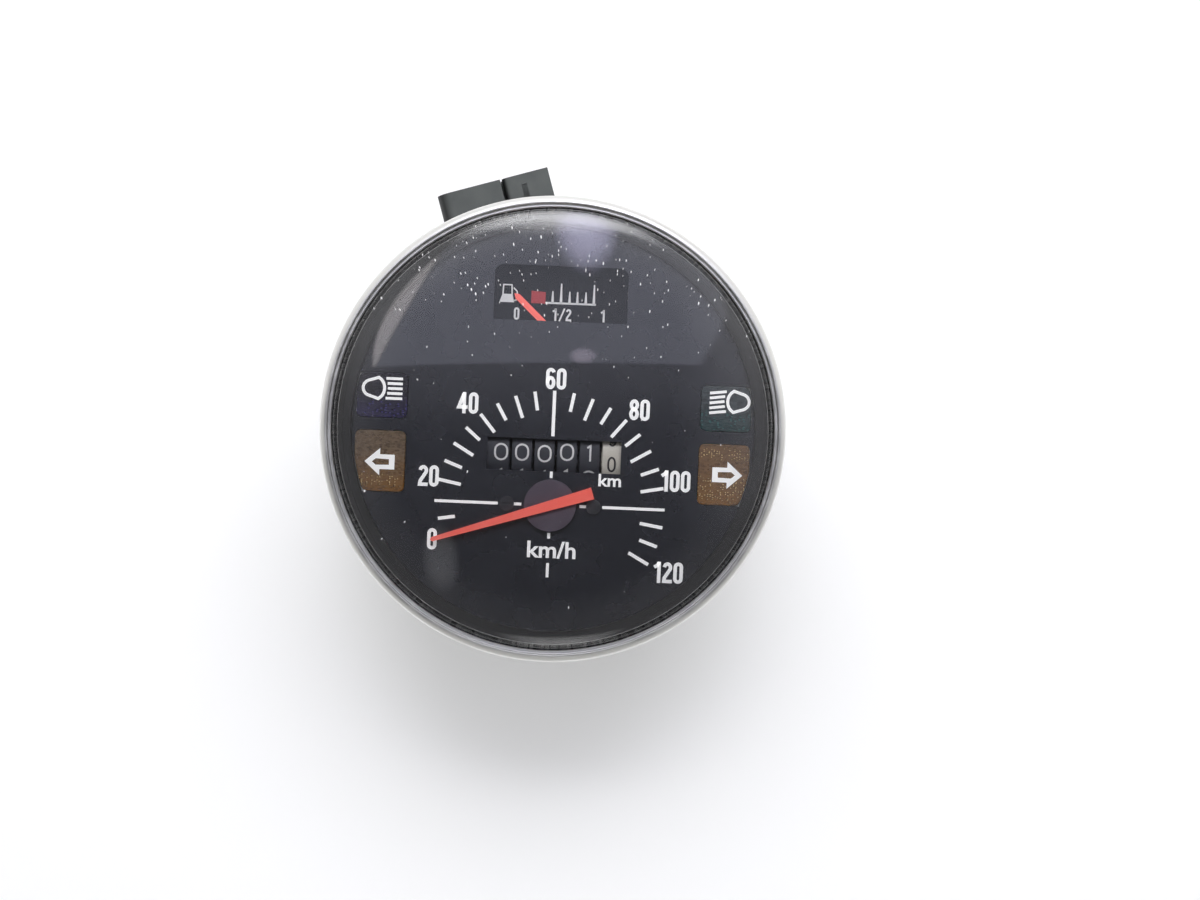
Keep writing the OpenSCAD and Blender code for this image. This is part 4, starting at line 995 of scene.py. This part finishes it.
# %% Threaded sleeve
def threaded(profile_low, profile_high, start, end, outer, depth, pitch, steps, centre=(0.0, 0.0)):
    """A turned piece whose stretch from start to end carries a thread."""
    rows = [(r, z, False) for r, z in profile_low]
    count = round((end - start) / pitch * 8)
    rows += [(outer, start + (end - start) * i / count, True) for i in range(count + 1)]
    rows += [(r, z, False) for r, z in profile_high]
    points = []
    for i in range(steps):
        a = math.tau * i / steps
        for r, z, cut in rows:
            if cut:
                phase = (z / pitch - i / steps) % 1.0
                fade = min(1.0, (z - start) / pitch, (end - z) / pitch)
                r = r - depth * abs(2 * phase - 1) * max(0.0, fade)
            points.append((centre[0] + r * math.cos(a), centre[1] + r * math.sin(a), z))
    return points, ring_faces(len(rows), steps)


print("thread helper ready")

# %% Nipple
BORE, BORE_MOUTH, NECK, NIPPLE_R, COLLAR = 3.5, 3.9, 5.4, 6.0, 9.0
nipple_top = high_mm("cable_nipple")[2]
below = [(BORE, 11.0), (BORE, 0.4), (BORE_MOUTH, 0.0), (NECK, 0.0)]
above = [(NIPPLE_R, 12.0), (COLLAR, 12.0), (COLLAR, 14.0), (NECK, 14.0), (NECK, nipple_top),
         (BORE_MOUTH, nipple_top), (BORE_MOUTH, 10.0), (BORE, 10.0)]
thread = threaded(below, above, start=0.6, end=11.0, outer=NIPPLE_R, depth=0.6, pitch=1.0, steps=64)
nipple = add_piece("threaded_nipple", *thread, finishes["cast_zinc"], "case", "cast_zinc", 50)
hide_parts("cable_nipple")
print("nipple", len(nipple.data.polygons))

# %% Studs
STUD_R, STUD_ROOT, STUD_COLLAR, STUD_HEAD = 2.5, 1.9, 3.1, 4.5
stud_top = high_mm("mounting_studs")[2]
stud_x = high_mm("mounting_studs")[0] - STUD_HEAD
stud_y = (low_mm("mounting_studs")[1] + high_mm("mounting_studs")[1]) / 2
below = [(0.0, 0.0), (STUD_ROOT, 0.0)]
above = [(STUD_R, 13.6), (STUD_COLLAR, 14.0), (STUD_COLLAR, 16.0), (STUD_HEAD, 16.0),
         (STUD_HEAD, stud_top), (0.0, stud_top)]
studs = joined(threaded(below, above, start=0.6, end=13.0, outer=STUD_R, depth=0.45, pitch=0.8,
                        steps=40, centre=(side * stud_x, stud_y)) for side in (-1, 1))
stud_pair = add_piece("threaded_studs", *studs, finishes["steel"], "case", "steel", 50)
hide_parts("mounting_studs")
print("studs", len(stud_pair.data.polygons))

# %% [markdown]
# ## The table
# The instrument lies on its back on a white table. The table's own colour takes the shadow,
# and a little light of its own lifts it to white for the camera and in the bezel's mirror,
# without putting more light on the instrument.

# %% White table
def table_white():
    material, tree = empty_material("table_white")
    cloud = noise(tree, object_point(tree), 5.0, 2.0)
    paint = blend_colours(tree, cloud, rgba((0.87, 0.87, 0.868)), rgba((0.90, 0.90, 0.898)))
    top = add_node(tree, "BsdfPrincipled", {"Base Color": paint, "Roughness": 0.6})
    path = add_node(tree, "LightPath").outputs
    seen = maths(tree, "MAXIMUM", path["Is Camera Ray"],
                 maths(tree, "MAXIMUM", path["Is Glossy Ray"], path["Is Transmission Ray"]))
    lift = add_node(tree, "Emission", {"Color": (1, 1, 1, 1),
                                       "Strength": times(tree, seen, 0.14)})
    show(tree, add_node(tree, "AddShader", {0: top.outputs[0], 1: lift.outputs[0]}))
    return material


TABLE_Z, REACH = -0.2, 1500.0
table_mesh = bpy.data.meshes.new("table")
table_mesh.from_pydata([(x * REACH * MM, y * REACH * MM, TABLE_Z * MM)
                        for x, y in [(-1, -1), (1, -1), (1, 1), (-1, 1)]], [], [(0, 1, 2, 3)])
table_mesh.materials.append(table_white())
table = in_scene("table", table_mesh)
print("table at", TABLE_Z)

# %% [markdown]
# ## The studio, painted by direction
# A domed lens mirrors the whole room, so the room decides how the dial looks. The world here
# is that room, worked out from the direction of each ray: pale walls low down, a dark ceiling
# overhead, and one large grey blind on the far side, whose near edge crosses the dome in a
# straight line and whose sides slant as they run away. A pale strip stands beside it, a small
# violet lamp and a wide white one beyond it. Softer glows low down on the far side and on
# the right brighten the bezel, two faint spots lie on the dome, and a low white lamp on the
# near side gives the bezel's lower edge a glint. The dial lies turned by 2.4 degrees, so the
# room is turned with the camera. Places in the room are given across and along it, as
# tangents of the angle from straight up.

# %% Room by direction
TILT = math.radians(2.4)
RIGHT = (math.cos(TILT), math.sin(TILT), 0.0)
UP = (-math.sin(TILT), math.cos(TILT), 0.0)


def soft_step(tree, value, low, high):
    return remap(tree, value, low, high, curve="SMOOTHSTEP")


def band(tree, value, low, high, blur):
    """1 from low to high, 0 outside, with edges as soft as blur."""
    return times(tree, soft_step(tree, value, low, low + blur),
                 soft_step(tree, value, high, high - blur))


world = bpy.data.worlds.new("studio_room")
bpy.context.scene.world = world
world.use_nodes = True
room = world.node_tree
room.nodes.clear()
ray = add_node(room, "TexCoord").outputs["Generated"]
height = add_node(room, "SeparateXYZ", {0: ray}).outputs["Z"]
safe = maths(room, "MAXIMUM", height, 0.05)
across, along = (
    maths(room, "DIVIDE", add_node(room, "VectorMath", {0: ray, 1: axis},
                                   operation="DOT_PRODUCT").outputs["Value"], safe)
    for axis in (RIGHT, UP))
print("room axes ready")

# %% Walls, blind and strip
walls = remap(room, height, 0.72, 0.88, 0.50, 0.05, "SMOOTHSTEP")
far = band(room, along, 0.1455, 1.1, 0.008)
from_left = maths(room, "ADD", maths(room, "MULTIPLY_ADD", along, -0.55, across), 0.506)
from_right = maths(room, "SUBTRACT", maths(room, "MULTIPLY_ADD", along, 0.60, 0.230), across)
sides = times(room, soft_step(room, from_left, 0.0, 0.010),
              soft_step(room, from_right, 0.0, 0.03))
blind = times(room, far, sides)
level = maths(room, "SUBTRACT", along, 0.275)
width = maths(room, "MULTIPLY_ADD", times(room, level, level), -2.6, 0.048)
strip = times(room, soft_step(room, maths(room, "ADD", from_left, width), 0.0, 0.008),
              soft_step(room, from_left, 0.006, -0.004))
strip = times(room, strip, far)
print("walls painted")

# %% Glows and lamps
def lamp_spot(middle, radii):
    x = maths(room, "DIVIDE", maths(room, "SUBTRACT", across, middle[0]), radii[0])
    y = maths(room, "DIVIDE", maths(room, "SUBTRACT", along, middle[1]), radii[1])
    away = maths(room, "ADD", times(room, x, x), times(room, y, y))
    return soft_step(room, away, 1.0, 0.0)


rise = times(room, soft_step(room, along, -0.02, 0.15), band(room, across, -0.6, 0.6, 0.15))
skirt = times(room, soft_step(room, distance(room, across, along), 0.42, 0.50),
              soft_step(room, along, 0.05, 0.30))
side = times(room, soft_step(room, across, 0.22, 0.36), band(room, along, -0.25, 0.40, 0.15))
light = walls
for share, colour in [
    (rise, (0.22, 0.22, 0.25)),
    (blind, (0.49, 0.51, 0.63)),
    (strip, (2.10, 1.98, 2.02)),
    (skirt, (0.42, 0.42, 0.43)),
    (side, (0.22, 0.22, 0.24)),
    (lamp_spot((0.055, 0.49), (0.085, 0.15)), (2.9, 2.8, 4.0)),
    (lamp_spot((0.00, 0.57), (0.36, 0.13)), (6.5, 6.5, 6.6)),
    (lamp_spot((0.045, 0.165), (0.035, 0.02)), (1.4, 1.2, 1.5)),
    (lamp_spot((-0.27, -0.28), (0.05, 0.09)), (0.5, 0.5, 0.52)),
    (lamp_spot((0.00, -0.58), (0.20, 0.10)), (2.4, 2.4, 2.4)),
]:
    light = add_node(room, "Mix", {0: share, 6: light, 7: rgba(colour)},
                     data_type="RGBA", blend_type="ADD").outputs[2]
sky = add_node(room, "Background", {"Color": light, "Strength": 1.0})
add_node(room, "OutputWorld", {"Surface": sky.outputs[0]})
print("room painted")

# %% [markdown]
# ## One soft lamp
# A large lamp stands where the blind is, so the bezel and the connectors get a brighter far
# side and the table a faint shadow on the near side. It is hidden from reflections, because
# the painted blind is already there.

# %% Soft lamp
lamp_data = bpy.data.lights.new("soft_lamp", "AREA")
lamp_data.shape, lamp_data.size, lamp_data.size_y = "RECTANGLE", 0.5, 0.3
lamp_data.energy = 1.9
soft_lamp = in_scene("soft_lamp", lamp_data)
aim = Vector((0, BEZEL_Y * MM, 0.05))
soft_lamp.location = Vector(UP) * 0.32 + Vector((0.03, BEZEL_Y * MM, 0.54))
soft_lamp.rotation_euler = (aim - soft_lamp.location).to_track_quat("-Z", "Y").to_euler()
soft_lamp.visible_glossy = False
print("lamp", tuple(round(v, 3) for v in soft_lamp.location))

# %% [markdown]
# ## The camera
# The picture was taken from about half a metre straight above the dial. In it the bezel's
# axis lies left of and above the middle, and the dial is turned by 2.4 degrees, so the camera
# is moved and turned by as much, and looks straight down.

# %% Camera above the dial
BEZEL_PLANE, DISTANCE, VIEW_WIDTH, SENSOR = 62.0, 500.0, 258.6, 36.0
TO_RIGHT, DOWNWARDS = 10.13, 4.53
spot = Vector((0, BEZEL_Y, BEZEL_PLANE + DISTANCE)) + Vector(RIGHT) * TO_RIGHT - Vector(UP) * DOWNWARDS
camera_data = bpy.data.cameras.new("camera")
camera_data.sensor_width = SENSOR
camera_data.lens = SENSOR * DISTANCE / VIEW_WIDTH
camera_data.clip_start = 0.01
camera = in_scene("camera", camera_data)
camera.location = spot * MM
camera.rotation_euler = (0.0, 0.0, TILT)
bpy.context.scene.camera = camera
bpy.context.scene.view_settings.view_transform = "Standard"
print("lens", round(camera_data.lens, 1), "mm")
